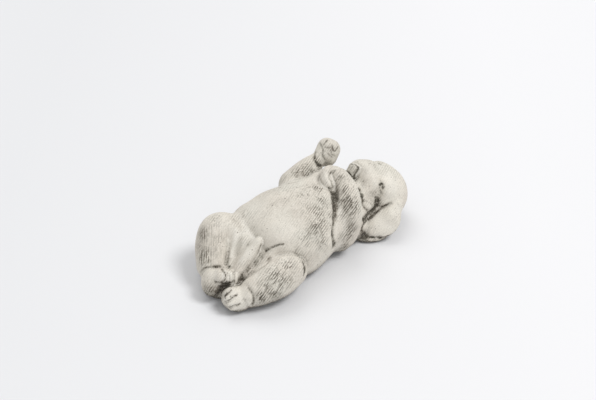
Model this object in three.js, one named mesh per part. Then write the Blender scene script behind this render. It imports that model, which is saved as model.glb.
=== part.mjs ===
// Dog garden statue: a puppy cast in one solid piece, lying on its back.
// Lengths in mm, +Z up, floor at Z = 0. +X runs from the tail to the head, -Y is the puppy's left side.
import * as THREE from "three";

// ---------------------------------------------------------------- driving sizes
// Box of the lattice that the shape is worked out on, and the size of its cells.
const CELL = 3;
const LOW = [-150.2, -92.1, -4.5];
const HIGH = [210, 100, 130];
// Facets of the finished body, and the width of the soft edge round its underside.
const FACETS = 9600;
const BASE_EDGE = 2;


// ---------------------------------------------------------------- rounded forms
const FAR = 60; // value of the field away from every form, mm
const REACH = 26; // how far outside a form its field is worked out, mm

function unit(v) {
  return new THREE.Vector3(...v).normalize();
}
// A frame from the direction of its x axis and the rough direction of its z axis: [x, y, z].
function axes(x, z) {
  const X = unit(x);
  const Z = new THREE.Vector3(...z);
  Z.addScaledVector(X, -Z.dot(X)).normalize();
  return [X, new THREE.Vector3().crossVectors(Z, X), Z];
}
// A frame with the axes of the part.
const SQUARE = axes([1, 0, 0], [0, 0, 1]);

// Ball stretched to three radii, turned by three angles in degrees, blended by k mm into what is there.
function ell(centre, radii, options = {}) {
  const [ax, ay, az] = (options.a || [0, 0, 0]).map((d) => (d * Math.PI) / 180);
  const turn = new THREE.Matrix4().makeRotationFromEuler(
    new THREE.Euler(ax, ay, az, "ZYX"),
  );
  return {
    k: options.k ?? 8,
    op: options.op || "+",
    low: centre.map((c) => c - Math.max(...radii)),
    high: centre.map((c) => c + Math.max(...radii)),
    value: ellipsoidValue(centre, radii, turn.elements),
  };
}
function ellipsoidValue(c, r, e) {
  return (x, y, z) => {
    const u = x - c[0],
      v = y - c[1],
      w = z - c[2];
    const a = (e[0] * u + e[1] * v + e[2] * w) / r[0],
      b = (e[4] * u + e[5] * v + e[6] * w) / r[1],
      d = (e[8] * u + e[9] * v + e[10] * w) / r[2];
    const k0 = Math.sqrt(a * a + b * b + d * d);
    const k1 = Math.hypot(a / r[0], b / r[1], d / r[2]) + 1e-9;
    return (k0 * (k0 - 1)) / k1;
  };
}

// Box with rounded edges, from its centre, half sizes and edge radius, turned like the ball.
function box(centre, half, rounding, options = {}) {
  const ball = ell(centre, half, options);
  const [ax, ay, az] = (options.a || [0, 0, 0]).map((d) => (d * Math.PI) / 180);
  const e = new THREE.Matrix4().makeRotationFromEuler(
    new THREE.Euler(ax, ay, az, "ZYX"),
  ).elements;
  const widest = Math.hypot(...half);
  return {
    ...ball,
    low: centre.map((c) => c - widest),
    high: centre.map((c) => c + widest),
    value: (x, y, z) => {
      const u = x - centre[0],
        v = y - centre[1],
        w = z - centre[2];
      const q = [0, 1, 2].map(
        (i) =>
          Math.abs(e[4 * i] * u + e[4 * i + 1] * v + e[4 * i + 2] * w) -
          (half[i] - rounding),
      );
      return (
        Math.hypot(...q.map((s) => Math.max(s, 0))) +
        Math.min(Math.max(...q), 0) -
        rounding
      );
    },
  };
}

// Limb along a smooth curve through [x, y, z, radius] points.
function tube(...points) {
  const last = points[points.length - 1];
  const options = Array.isArray(last) ? {} : points.pop();
  const middle = new THREE.CatmullRomCurve3(
    points.map((p) => new THREE.Vector3(p[0], p[1], p[2])),
    false,
    "catmullrom",
    0.5,
  );
  const width = new THREE.CatmullRomCurve3(
    points.map((p) => new THREE.Vector3(p[3], 0, 0)),
    false,
    "catmullrom",
    0.5,
  );
  const steps = points.length === 2 ? 1 : (points.length - 1) * 8;
  const path = [];
  for (let i = 0; i <= steps; i++) {
    const p = middle.getPoint(i / steps);
    path.push([p.x, p.y, p.z, width.getPoint(i / steps).x]);
  }
  return {
    k: options.k ?? 8,
    op: options.op || "+",
    low: [0, 1, 2].map((i) => Math.min(...path.map((p) => p[i] - p[3]))),
    high: [0, 1, 2].map((i) => Math.max(...path.map((p) => p[i] + p[3]))),
    value: limbValue(path),
  };
}
function limbValue(path) {
  return (x, y, z) => {
    let best = FAR * 10;
    for (let i = 0; i + 1 < path.length; i++) {
      const a = path[i],
        b = path[i + 1];
      const vx = b[0] - a[0],
        vy = b[1] - a[1],
        vz = b[2] - a[2];
      const t = THREE.MathUtils.clamp(
        ((x - a[0]) * vx + (y - a[1]) * vy + (z - a[2]) * vz) /
          (vx * vx + vy * vy + vz * vz + 1e-9),
        0,
        1,
      );
      const d =
        Math.hypot(x - a[0] - t * vx, y - a[1] - t * vy, z - a[2] - t * vz) -
        (a[3] + t * (b[3] - a[3]));
      if (d < best) best = d;
    }
    return best;
  };
}

// Two fields joined with a blend k mm wide, and one cut by another the same way.
function join(a, b, k) {
  if (k <= 0) return Math.min(a, b);
  const h = Math.max(k - Math.abs(a - b), 0) / k;
  return Math.min(a, b) - h * h * k * 0.25;
}
function cut(a, b, k) {
  return -join(-a, b, k);
}

// ---------------------------------------------------------------- the puppy
// Folds, creases and ridges: name, width, depth (less than 0 is raised), darkness of the wash held there, and points on the surface.
const STROKES = [
  ["mouth", 1.9, 3.2, 2.0, [[131.1, -5.0, 97.0], [131.7, -7.8, 95.9], [130.8, -10.2, 94.8], [128.7, -11.3, 92.2], [125.2, -11.2, 89.0], [122.0, -11.2, 86.0], [119.6, -11.7, 82.3]]],
  ["mouth_top", 1.0, 1.8, 1.1, [[126.6, 1.6, 97.3], [127.6, -1.6, 98.5], [130.0, -3.6, 97.8], [131.7, -5.6, 96.7]]],
  ["cheek", 4.2, 3.4, 0.1, [[136.4, -45.3, 69.4], [132.3, -45.7, 59.5], [128.7, -47.2, 51.6]]],
  ["cheek_deep", 2.2, 4.6, 1.1, [[131.4, -45.5, 58.8], [131.1, -47.1, 53.8], [129.4, -48.0, 48.8], [126.4, -48.1, 45.5]]],
  ["flew_under", 2.6, 3.4, 1.1, [[128.0, -48.2, 46.5], [121.9, -47.2, 43.6], [117.0, -45.1, 39.9], [110.9, -45.0, 36.5], [100.6, -48.0, 38.6]]],
  ["flew_front", 1.5, 2.2, 0.8, [[114.3, -25.8, 75.0], [111.9, -31.3, 71.4], [109.7, -36.2, 66.1], [106.1, -39.6, 60.2], [108.0, -42.3, 52.5], [112.0, -43.9, 45.7]]],
  ["flew_lobe", 4.0, -1.6, -0.2, [[115.7, -42.1, 56.2], [114.9, -43.8, 51.1]]],
  ["ear_crease", 1.2, 2.4, 1.0, [[142.4, -58.4, 48.0], [138.1, -55.5, 45.7], [134.1, -52.3, 43.0], [129.2, -51.0, 40.5]]],
  ["ear_crease_low", 1.4, 3.0, 1.1, [[129.2, -51.0, 40.5], [121.1, -49.3, 36.2], [114.1, -46.8, 31.7], [100.5, -50.6, 34.3], [93.3, -52.3, 32.6], [90.0, -53.4, 27.6]]],
  ["ear_lip", 1.1, 1.4, 0.9, [[96.4, -53.0, 17.4], [100.5, -54.5, 11.4], [103.9, -60.0, 11.0], [109.0, -66.8, 11.0], [117.1, -74.1, 10.6], [122.3, -77.3, 12.2]]],
  ["eye_socket", 3.6, 1.8, 0.06, [[139.9, -43.8, 77.3], [138.6, -46.7, 72.4]]],
  ["brow", 5.0, -1.2, -0.05, [[148.8, -46.3, 79.0], [145.9, -51.8, 72.8], [142.3, -53.4, 65.9]]],
  ["brow_far_dip", 4.0, 1.8, 0.1, [[155.0, -17.6, 91.5], [155.5, -23.9, 87.3], [152.7, -31.0, 83.5]]],
  ["stop", 5.0, 1.5, 0.05, [[151.6, -27.2, 85.7], [147.0, -33.9, 82.6], [141.6, -38.4, 80.7]]],
  ["foreleg_fold", 4.0, 6.2, 1.5, [[63.1, -23.8, 94.8], [57.3, -30.3, 92.7], [49.8, -37.7, 88.8], [42.0, -44.8, 83.2], [35.6, -49.9, 77.6]]],
  ["foreleg_fold_top", 1.8, 2.6, 0.8, [[58.5, -17.5, 99.8], [61.7, -19.9, 96.9], [62.5, -24.3, 94.6]]],
  ["foreleg_fold_low", 2.0, 4.6, 1.0, [[35.6, -49.9, 77.6], [28.4, -53.6, 71.8], [23.4, -56.7, 64.3], [23.0, -58.8, 53.6], [26.0, -57.7, 38.9]]],
  ["wrist_left", 1.5, 2.2, 0.5, [[80.0, -9.1, 114.7], [75.1, -7.3, 111.8], [68.6, -9.4, 111.1], [66.5, -12.0, 109.2], [67.2, -15.3, 106.6], [65.8, -18.2, 104.1], [66.2, -19.9, 99.6]]],
  ["foreleg_edge", 2.6, -0.6, -0.05, [[60.0, -34.4, 93.3], [53.1, -41.4, 87.1], [46.9, -47.1, 80.0], [38.5, -52.0, 73.6], [31.3, -55.8, 66.1]]],
  ["wrist_right", 1.3, 2.2, 1.0, [[104.6, 49.4, 105.1], [97.4, 43.6, 103.8], [94.5, 39.0, 100.6], [94.8, 34.7, 96.0], [99.8, 32.2, 91.8]]],
  ["foreleg_right_root", 2.0, 1.6, 0.2, [[43.9, 25.9, 99.0], [36.9, 30.7, 97.5], [33.3, 38.7, 93.1]]],
  ["pad_main", 5.0, -1.6, -0.1, [[109.1, 32.5, 106.6], [110.1, 28.6, 103.6]]],
  ["groin", 1.1, 2.6, 0.9, [[-44.8, -30.2, 71.2], [-50.2, -24.1, 68.9], [-56.2, -17.9, 64.3], [-62.2, -13.6, 60.3]]],
  ["groin_hollow", 3.2, 3.4, 0.22, [[-62.7, -12.2, 60.2], [-69.4, -14.1, 56.8], [-77.9, -14.9, 52.2], [-85.1, -14.5, 47.9]]],
  ["leg_left_top", 1.6, 2.6, 0.42, [[-63.8, -24.2, 54.7], [-74.7, -26.2, 52.4], [-87.5, -23.4, 48.5], [-96.9, -18.8, 42.8], [-103.0, -10.6, 34.0]]],
  ["leg_left_deep", 2.0, 2.4, 0.4, [[-88.2, -18.5, 45.3], [-96.4, -15.4, 40.9], [-102.5, -11.1, 34.4]]],
  ["knee_left", 1.3, 3.0, 0.9, [[-35.4, -57.8, 48.9], [-36.3, -61.3, 44.6], [-39.1, -63.9, 41.0], [-42.6, -65.6, 37.2]]],
  ["ankle_left", 1.4, 2.6, 0.9, [[-111.7, -30.8, 38.5], [-112.5, -36.9, 35.8], [-113.0, -41.3, 31.1], [-113.9, -42.6, 24.6], [-114.8, -41.1, 17.3]]],
  ["ankle_left_soft", 3.5, 1.0, 0.18, [[-109.8, -23.4, 38.8], [-111.6, -34.3, 38.0], [-112.1, -41.9, 31.8]]],
  ["shank_valley", 1.8, 0.8, 0.05, [[-81.1, 35.8, 57.2], [-84.5, 33.3, 52.8], [-87.7, 30.9, 49.1]]],
  ["shank_low", 1.6, 2.6, 0.35, [[-87.7, 30.9, 49.1], [-93.0, 27.3, 44.0], [-99.4, 22.8, 39.3]]],
  ["thigh_ridge", 2.4, -1.6, -0.35, [[-67.2, 35.6, 70.5], [-75.1, 31.1, 62.2], [-82.5, 27.7, 53.0], [-89.5, 24.3, 45.3]]],
  ["hip_hollow", 3.5, 0.8, 0.1, [[-69.8, 23.6, 66.6], [-77.2, 20.2, 59.2], [-83.2, 18.3, 50.2], [-91.8, 15.5, 43.2]]],
  ["tail_left", 1.5, 0.6, 0.08, [[-62.1, 10.9, 67.4], [-76.7, 8.2, 60.5], [-90.0, 7.5, 51.9], [-97.2, 11.0, 42.2]]],
  ["tail_right", 1.5, 2.4, 0.3, [[-61.4, -6.2, 64.6], [-69.5, -9.9, 57.0], [-81.5, -11.3, 50.7], [-92.7, -10.0, 44.1], [-100.0, -7.8, 39.5]]],
  ["rump_line", 1.6, 2.0, 0.6, [[-100.0, -7.8, 39.5], [-104.4, -9.7, 33.0]]],
  ["ankle_right_b", 1.3, 2.2, 0.35, [[-135.7, 29.5, 35.7], [-132.1, 28.9, 40.3], [-126.1, 29.3, 42.4], [-117.3, 27.8, 41.7], [-109.0, 24.5, 39.6]]],
];
// A frame that faces the side of the statue on show: x to its right, y up, z out.
const SHOWN = axes([0.682, -0.731, 0], [-0.584, -0.545, 0.602]);
function model() {
  const G = [];
  // Belly, rump, right haunch, chest and neck.
  G.push({name: "trunk", k: 0, forms: [ell([4, 2, 49], [66, 61, 53], {k: 0}), ell([-4, 0, 24], [60, 55, 32], {k: 10}), ell([-58, 4, 20], [46, 50, 28], {k: 10}), ell([-100, 25, 13], [33, 30, 24], {k: 12}), ell([-26, 42, 48], [32, 36, 36], {k: 9}), ell([44, 2, 51], [50, 57, 51], {k: 20}), tube([70, 3, 50, 40], [122, -12, 44, 33], {k: 18}), ell([94, -30, 24], [24, 24, 24], {k: 8}), ell([2, 22, 52], [54, 52, 43.5], {k: 8}), ell([79, 9, 88], [24, 20, 15], {k: 8}), ell([-64, 22, 46], [16, 14, 22], {k: 10}), tube([-64, 11, 58, 7.5], [-76, 14, 45, 7.5], [-88, 14, 35, 7], {k: 8}), tube([-60, 41, 59, 14], [-73, 34.5, 45, 12.5], [-86, 27.5, 33.5, 9.5], {k: 10})]});
  // Left thigh, blended into the belly, and the left leg lying along the floor.
  G.push({name: "thigh_left", k: 8, forms: [tube([-86, -10, 28, 17], [-58, -12, 40, 20], [-30, -12, 42, 22], {k: 0})]});
  G.push({name: "leg_left", k: 2, forms: [tube([-46, -41.5, 34, 24.5], [-68, -40, 31, 26], [-90, -33, 26, 23], [-106, -26, 20, 17.5], {k: 0})]});
  G.push({name: "hind_paw_left", o: [-119.5, -17.3, 17.7], M: SHOWN, k: 1.5, forms: [ell([-0.5, -0.5, 0], [20.5, 17.3, 15], {a: [0, 0, -15], k: 0}), ell([-10, 9, 9], [5.2, 8.6, 6], {a: [0, 0, -52], k: 2}), ell([-9, 2, 12], [4.6, 8.4, 6], {a: [0, 0, -62], k: 1.2}), ell([-6, -5.5, 11.5], [4.6, 8.4, 6], {a: [0, 0, -72], k: 1.2}), ell([-2.5, -12, 7], [4, 7.6, 5.5], {a: [0, 0, -80], k: 1.2})]});
  // Right leg, its knee up on the far side, its heel on the floor and its toes over the left paw.
  G.push({name: "leg_right", k: 6, forms: [tube([-56, 54, 52, 25], [-73, 65, 58, 24.5], [-88, 59, 45, 25], [-107, 43.5, 31, 20.5], {k: 0})]});
  G.push({name: "hind_paw_right", o: [-115, 16, 32], M: SHOWN, k: 1.5, forms: [ell([-12.5, -7.5, -2], [14.5, 19, 17], {k: 0}), ell([0, -0.5, 4], [23, 12.3, 13], {k: 3}), ell([-0.6, 0.5, 14], [5.4, 9.6, 6.4], {a: [0, 0, 12], k: 4}), ell([6.6, 0.3, 14.4], [4.8, 9.3, 6.4], {a: [0, 0, 5], k: 3}), ell([13.0, -1.2, 13.6], [4.2, 8.8, 6.4], {a: [0, 0, -2], k: 3}), ell([18.8, -3.4, 10.8], [4.4, 8.6, 6.6], {a: [0, 0, -12], k: 3})]});
  // Tail, up between the legs onto the belly.
  G.push({name: "tail", k: 3, forms: [tube([-106, 2, 24, 13], [-92, 2, 37, 11.5], [-76, 1, 54, 9.4], [-60.5, 0.5, 67, 6.2], {k: 0})]});
  // Right foreleg, raised clear of the neck, the sole of its paw on show.
  G.push({name: "foreleg_right", k: 6, forms: [tube([76, 40, 48, 24], [57, 50, 70, 18], {k: 0}), tube([60, 50.5, 76, 18], [83, 50.5, 86.5, 13.8], [107, 44, 94, 12], {k: 8}), tube([70, 38, 78, 15], [93, 37, 85.5, 9.5], {k: 4})]});
  G.push({name: "fore_paw_right", o: [121, 41.5, 101.5], M: SHOWN, k: 2, forms: [box([0.5, 0, 0], [17, 20, 15], 14.5, {a: [0, 0, -24], k: 0})]});
  // Left foreleg, folded across the chest, and its paw turned over at the wrist.
  G.push({name: "foreleg_left", k: 9, forms: [tube([58, -41, 22, 15.5], [62, -45, 37, 19.5], [66.5, -47, 60, 19.5], [72, -42, 80, 17.8], [82, -29, 92, 15.5], [84.7, -15, 104, 12.5], {k: 0})]});
  G.push({name: "fore_paw_left", k: 4, forms: [tube([86, -5, 108, 8], [78.7, 1, 110, 7.6], [69.4, -2.6, 106.5, 7.8], [64.3, -12.2, 100, 7.5], {k: 0})]});
  // Head: the skull, brows and far lip in a frame along the muzzle, the near side in the shown frame.
  const HEAD = [161.8, -24.7, 43.5];
  const M = axes([-0.453, 0.356, 0.817], [0.543, -0.619, 0.572]);
  G.push({name: "head", o: HEAD, M: M, k: 5, forms: [ell([0, 0, 2], [37, 38, 38], {k: 0}), ell([-12, 2, 4], [30, 32, 30], {k: 10}), ell([18, 19, 17], [16, 10, 10], {k: 12}), ell([18, -18, 15], [16, 10, 10], {k: 14}), tube([22, 0, 0, 22], [42, -3, -1, 16], {k: 10}), tube([38, -6, -3, 13], [26, -16, -9, 14], [6, -26, -18, 12.5], {k: 6})]});
  G.push({name: "muzzle", o: HEAD, M: SHOWN, k: 7, forms: [tube([-29.5, 29, 22, 14], [-19.4, 27, 18, 16.6], {k: 0}), tube([-19.4, 27, 18, 16.6], [-19, 6.8, 27, 16.5], [-15.5, -18.5, 27, 11.5], {k: 5}), ell([-31.5, 35.4, 22], [11, 8.6, 13], {a: [0, 0, 6], k: 3})]});
  G.push({name: "chin", o: HEAD, M: SHOWN, k: 1, forms: [box([-39.6, 27.7, 26.5], [8.5, 11, 15], 4, {a: [0, 0, -28], k: 0})]});
  // Left ear, laid out over the floor.
  G.push({name: "ear_left", o: [126, -60, 25], M: axes([0.809, -0.461, 0.367], [-0.45, -0.5, 0.74]), k: 2.5, forms: [ell([0, 0, 0], [28.5, 22, 8], {k: 0}), tube([16, 2, 0, 9], [30, 13, -6, 11], {k: 10})]});
  G.push({name: "ear_left_base", k: 2, forms: [ell([116, -48, 6], [28, 19, 10], {a: [0, 0, -40], k: 0})]});
  G.push({name: "ear_right", o: [170, 28, 28], M: axes([-0.3, 0.6, -0.6], [0.3, 0.8, 0.4]), k: 3, forms: [ell([0, 0, 0], [34, 24, 7], {k: 0})]});
  return G;
}

// ---------------------------------------------------------------- the field on a lattice
const count = HIGH.map((v, i) => Math.ceil((v - LOW[i]) / CELL) + 1);
const at = (i, j, k) => (i * count[1] + j) * count[2] + k;
const place = (i, axis) => LOW[axis] + i * CELL;

// The lattice box that a form reaches, from the corners of its own box.
function reach(form, group) {
  const box = new THREE.Box3();
  for (let c = 0; c < 8; c++) {
    const p = new THREE.Vector3(...group.o);
    group.M.forEach((axis, i) =>
      p.addScaledVector(axis, c & (1 << i) ? form.high[i] : form.low[i]),
    );
    box.expandByPoint(p);
  }
  box.expandByScalar(REACH);
  const low = box.min.toArray(),
    high = box.max.toArray();
  return [0, 1, 2].map((i) => [
    THREE.MathUtils.clamp(Math.floor((low[i] - LOW[i]) / CELL), 0, count[i] - 1),
    THREE.MathUtils.clamp(Math.ceil((high[i] - LOW[i]) / CELL), 0, count[i] - 1),
  ]);
}

function fieldOf(groups) {
  const total = new Float32Array(count[0] * count[1] * count[2]).fill(FAR);
  const own = new Float32Array(total.length);
  for (const g of groups) {
    const group = { o: [0, 0, 0], M: SQUARE, k: 8, op: "+", ...g };
    const boxes = group.forms.map((f) => reach(f, group));
    const all = [0, 1, 2].map((i) => [
      Math.min(...boxes.map((b) => b[i][0])),
      Math.max(...boxes.map((b) => b[i][1])),
    ]);
    each(all, (n) => (own[n] = FAR));
    group.forms.forEach((f, m) => {
      each(boxes[m], (n, x, y, z) => {
        const u = x - group.o[0],
          v = y - group.o[1],
          w = z - group.o[2];
        const [X, Y, Z] = group.M;
        const d = f.value(
          X.x * u + X.y * v + X.z * w,
          Y.x * u + Y.y * v + Y.z * w,
          Z.x * u + Z.y * v + Z.z * w,
        );
        own[n] = f.op === "+" ? join(own[n], d, f.k) : cut(own[n], d, f.k);
      });
    });
    each(all, (n) => {
      total[n] =
        group.op === "+"
          ? join(total[n], own[n], group.k)
          : cut(total[n], own[n], group.k);
    });
  }
  // Folds and ridges: the surface pressed in, or raised, along smooth lines.
  for (const [, width, depth, , points] of STROKES) {
    const path = tube(...points.map((p) => [...p, 0]));
    const w = Math.max(width, 0.8 * CELL);
    const near = [0, 1, 2].map((i) => [
      THREE.MathUtils.clamp(
        Math.floor((path.low[i] - 2.7 * w - LOW[i]) / CELL),
        0,
        count[i] - 1,
      ),
      THREE.MathUtils.clamp(
        Math.ceil((path.high[i] + 2.7 * w - LOW[i]) / CELL),
        0,
        count[i] - 1,
      ),
    ]);
    each(near, (n, x, y, z) => {
      total[n] += depth * Math.exp(-((path.value(x, y, z) / w) ** 2));
    });
  }
  // The flat underside.
  each(count.map((c) => [0, c - 1]), (n, x, y, z) => {
    total[n] = cut(total[n], z, BASE_EDGE);
  });
  return total;
}
function each(box, act) {
  for (let i = box[0][0]; i <= box[0][1]; i++)
    for (let j = box[1][0]; j <= box[1][1]; j++)
      for (let k = box[2][0]; k <= box[2][1]; k++)
        act(at(i, j, k), place(i, 0), place(j, 1), place(k, 2));
}

// ---------------------------------------------------------------- the surface of the field
// Each lattice cell is split into six tetrahedra round its long diagonal, so the surface always closes.
const CORNER = [
  [0, 0, 0], [1, 0, 0], [1, 1, 0], [0, 1, 0],
  [0, 0, 1], [1, 0, 1], [1, 1, 1], [0, 1, 1],
];
const TETRAHEDRA = [
  [0, 5, 1, 6], [0, 1, 2, 6], [0, 2, 3, 6],
  [0, 3, 7, 6], [0, 7, 4, 6], [0, 4, 5, 6],
];
function surfaceOf(field) {
  const vertices = [],
    triangles = [],
    known = new Map();
  const point = (n) => {
    const k = n % count[2],
      j = Math.floor(n / count[2]) % count[1],
      i = Math.floor(n / (count[1] * count[2]));
    return [place(i, 0), place(j, 1), place(k, 2)];
  };
  const crossing = (a, b) => {
    if (a > b) [a, b] = [b, a];
    const key = a * field.length + b;
    if (!known.has(key)) {
      const t = THREE.MathUtils.clamp(
        field[a] / (field[a] - field[b]),
        0.03,
        0.97,
      );
      const p = point(a),
        q = point(b);
      known.set(key, vertices.length);
      vertices.push(p.map((v, i) => v + t * (q[i] - v)));
    }
    return known.get(key);
  };
  for (let i = 0; i + 1 < count[0]; i++)
    for (let j = 0; j + 1 < count[1]; j++)
      for (let k = 0; k + 1 < count[2]; k++) {
        const nodes = CORNER.map((c) => at(i + c[0], j + c[1], k + c[2]));
        const inside = nodes.map((n) => field[n] < 0);
        if (inside.every((s) => s) || !inside.some((s) => s)) continue;
        for (const tetra of TETRAHEDRA) {
          const inner = tetra.filter((c) => inside[c]),
            outer = tetra.filter((c) => !inside[c]);
          if (!inner.length || !outer.length) continue;
          const out = [0, 1, 2].map(
            (x) =>
              outer.reduce((s, c) => s + CORNER[c][x], 0) / outer.length -
              inner.reduce((s, c) => s + CORNER[c][x], 0) / inner.length,
          );
          const edge = (a, b) => crossing(nodes[a], nodes[b]);
          const loop =
            inner.length === 1
              ? outer.map((c) => edge(inner[0], c))
              : outer.length === 1
                ? inner.map((c) => edge(outer[0], c))
                : [
                    edge(inner[0], outer[0]),
                    edge(inner[0], outer[1]),
                    edge(inner[1], outer[1]),
                    edge(inner[1], outer[0]),
                  ];
          for (let m = 1; m + 1 < loop.length; m++) {
            const tri = [loop[0], loop[m], loop[m + 1]];
            const [p, q, r] = tri.map((v) => vertices[v]);
            const n = cross(minus(q, p), minus(r, p));
            triangles.push(
              n[0] * out[0] + n[1] * out[1] + n[2] * out[2] < 0
                ? [tri[0], tri[2], tri[1]]
                : tri,
            );
          }
        }
      }
  return { vertices, triangles };
}
const minus = (a, b) => [a[0] - b[0], a[1] - b[1], a[2] - b[2]];
const cross = (a, b) => [
  a[1] * b[2] - a[2] * b[1],
  a[2] * b[0] - a[0] * b[2],
  a[0] * b[1] - a[1] * b[0],
];
const dot = (a, b) => a[0] * b[0] + a[1] * b[1] + a[2] * b[2];

// ---------------------------------------------------------------- fewer, larger facets
// Edges are drawn together in the order that moves the surface least, until facets are left as asked.
function facet({ vertices, triangles }, wanted) {
  const tris = triangles.map((t) => t.slice()),
    alive = tris.map(() => true);
  const round = vertices.map(() => new Set());
  tris.forEach((t, i) => t.forEach((v) => round[v].add(i)));
  const quadric = vertices.map(() => new Float64Array(10));
  const flat = vertices.map((v) => Math.abs(v[2]) < 1e-3);
  const areaNormal = (t, moved, to) => {
    const [p, q, r] = t.map((v) => (v === moved ? to : vertices[v]));
    return cross(minus(q, p), minus(r, p));
  };
  tris.forEach((t) => {
    const n = areaNormal(t, -1),
      size = Math.hypot(...n);
    if (size < 1e-12) return;
    const u = n.map((v) => v / size),
      d = -dot(u, vertices[t[0]]),
      w = size / 2;
    const p = [...u, d];
    for (const v of t) {
      let m = 0;
      for (let a = 0; a < 4; a++)
        for (let b = a; b < 4; b++) quadric[v][m++] += w * p[a] * p[b];
    }
  });
  const moves = (q, [x, y, z]) =>
    q[0] * x * x + 2 * q[1] * x * y + 2 * q[2] * x * z + 2 * q[3] * x +
    q[4] * y * y + 2 * q[5] * y * z + 2 * q[6] * y +
    q[7] * z * z + 2 * q[8] * z + q[9];
  const solve = (q) => {
    const [a, b, c, d, e, f, g, h, i] = q;
    const A = new THREE.Matrix3().set(a, b, c, b, e, f, c, f, h);
    const size = Math.abs(a) + Math.abs(e) + Math.abs(h);
    if (Math.abs(A.determinant()) < 1e-5 * size ** 3) return null;
    return new THREE.Vector3(-d, -g, -i).applyMatrix3(A.invert()).toArray();
  };
  const version = new Int32Array(vertices.length);
  const heap = [];
  const push = (item) => {
    let i = heap.push(item) - 1;
    while (i > 0) {
      const up = (i - 1) >> 1;
      if (heap[up].cost <= heap[i].cost) break;
      [heap[up], heap[i]] = [heap[i], heap[up]];
      i = up;
    }
  };
  const pop = () => {
    const top = heap[0],
      end = heap.pop();
    if (heap.length) {
      heap[0] = end;
      let i = 0;
      for (;;) {
        let c = 2 * i + 1;
        if (c >= heap.length) break;
        if (c + 1 < heap.length && heap[c + 1].cost < heap[c].cost) c++;
        if (heap[i].cost <= heap[c].cost) break;
        [heap[c], heap[i]] = [heap[i], heap[c]];
        i = c;
      }
    }
    return top;
  };
  const weigh = (u, v) => {
    const q = quadric[u].map((x, i) => x + quadric[v][i]);
    const P = vertices[u],
      Q = vertices[v];
    const span = Math.hypot(...minus(P, Q));
    const mid = P.map((x, i) => (x + Q[i]) / 2);
    const options = [mid, P.slice(), Q.slice()];
    const best = solve(q);
    if (best && Math.hypot(...minus(best, mid)) < 1.5 * span) options.push(best);
    let cost = Infinity,
      to = mid;
    for (const o of options) {
      if (flat[u] || flat[v]) o[2] = 0;
      else if (o[2] < 0.4) continue;
      const c = moves(q, o) + 1e-4 * span * span;
      if (c < cost) [cost, to] = [c, o];
    }
    if (cost < Infinity)
      push({ cost, to, u, v, at: version[u] + version[v] });
  };
  const beside = (v) => {
    const out = new Set();
    for (const t of round[v]) for (const w of tris[t]) if (w !== v) out.add(w);
    return out;
  };
  const quality = (area, tri) => {
    const longest = Math.max(
      ...tri.map((p, i) => Math.hypot(...minus(p, tri[(i + 1) % 3]))),
    );
    return area / longest ** 2;
  };
  let left = tris.length;
  const gone = new Uint8Array(vertices.length);
  // Each pass goes through every edge again, and takes poorer facets than the pass before it.
  for (let poorest = 0.12; left > wanted && poorest > 0.005; poorest /= 2) {
    heap.length = 0;
    vertices.forEach((_, u) => {
      for (const v of beside(u)) if (u < v) weigh(u, v);
    });
    while (left > wanted && heap.length) {
      const { to, u, v, at: when } = pop();
      if (gone[u] || gone[v] || version[u] + version[v] !== when) continue;
      const other = beside(v);
      const common = [...beside(u)].filter((w) => other.has(w));
      const shared = [...round[u]].filter((t) => round[v].has(t));
      if (common.length !== 2 || shared.length !== 2) continue;
      const kept = [
        ...[...round[u]].filter((t) => !round[v].has(t)).map((t) => [t, u]),
        ...[...round[v]].filter((t) => !round[u].has(t)).map((t) => [t, v]),
      ];
      const spoilt = kept.some(([t, w]) => {
        const before = areaNormal(tris[t], -1),
          after = areaNormal(tris[t], w, to);
        const a = Math.hypot(...before),
          b = Math.hypot(...after);
        if (b < 0.02) return true;
        if (a > 0.02 && dot(before, after) < 0.3 * a * b) return true;
        const was = quality(a, tris[t].map((x) => vertices[x]));
        const now = quality(b, tris[t].map((x) => (x === w ? to : vertices[x])));
        return now < poorest && now < was;
      });
      if (spoilt) continue;
      for (const t of shared) {
        alive[t] = false;
        left--;
        for (const w of tris[t]) round[w].delete(t);
      }
      for (const t of round[v]) {
        tris[t] = tris[t].map((w) => (w === v ? u : w));
        round[u].add(t);
      }
      round[v].clear();
      gone[v] = 1;
      vertices[u] = to;
      flat[u] = flat[u] || flat[v];
      quadric[u] = quadric[u].map((x, i) => x + quadric[v][i]);
      version[u] += 1 + version[v];
      for (const w of beside(u)) weigh(u, w);
    }
  }
  return { vertices, triangles: tris.filter((_, i) => alive[i]) };
}

// ---------------------------------------------------------------- the part
const shape = facet(surfaceOf(fieldOf(model())), FACETS);
const used = new Map(),
  positions = [],
  index = [];
for (const t of shape.triangles)
  for (const v of t) {
    if (!used.has(v)) {
      used.set(v, used.size);
      positions.push(...shape.vertices[v]);
    }
    index.push(used.get(v));
  }
const geometry = new THREE.BufferGeometry();
geometry.setAttribute("position", new THREE.Float32BufferAttribute(positions, 3));
geometry.setIndex(index);
// The origin is the middle of the underside of the part's box.
geometry.computeBoundingBox();
const middle = geometry.boundingBox.getCenter(new THREE.Vector3());
geometry.translate(-middle.x, -middle.y, 0);
geometry.computeVertexNormals();

const statue = new THREE.Mesh(
  geometry,
  new THREE.MeshStandardMaterial({
    color: 0xd6d0c4,
    roughness: 0.92,
    metalness: 0,
  }),
);
statue.name = "dog_statue";
const part = new THREE.Group();
part.add(statue);

export default part;
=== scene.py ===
"""Dog garden statue: a puppy cast in one piece of pale stone, lying on its back, with a dark wash in its recesses, and
painted shade and painted highlights on the stone.
"""
import bpy
import math
import numpy as np
from mathutils import Matrix, Vector


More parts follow.
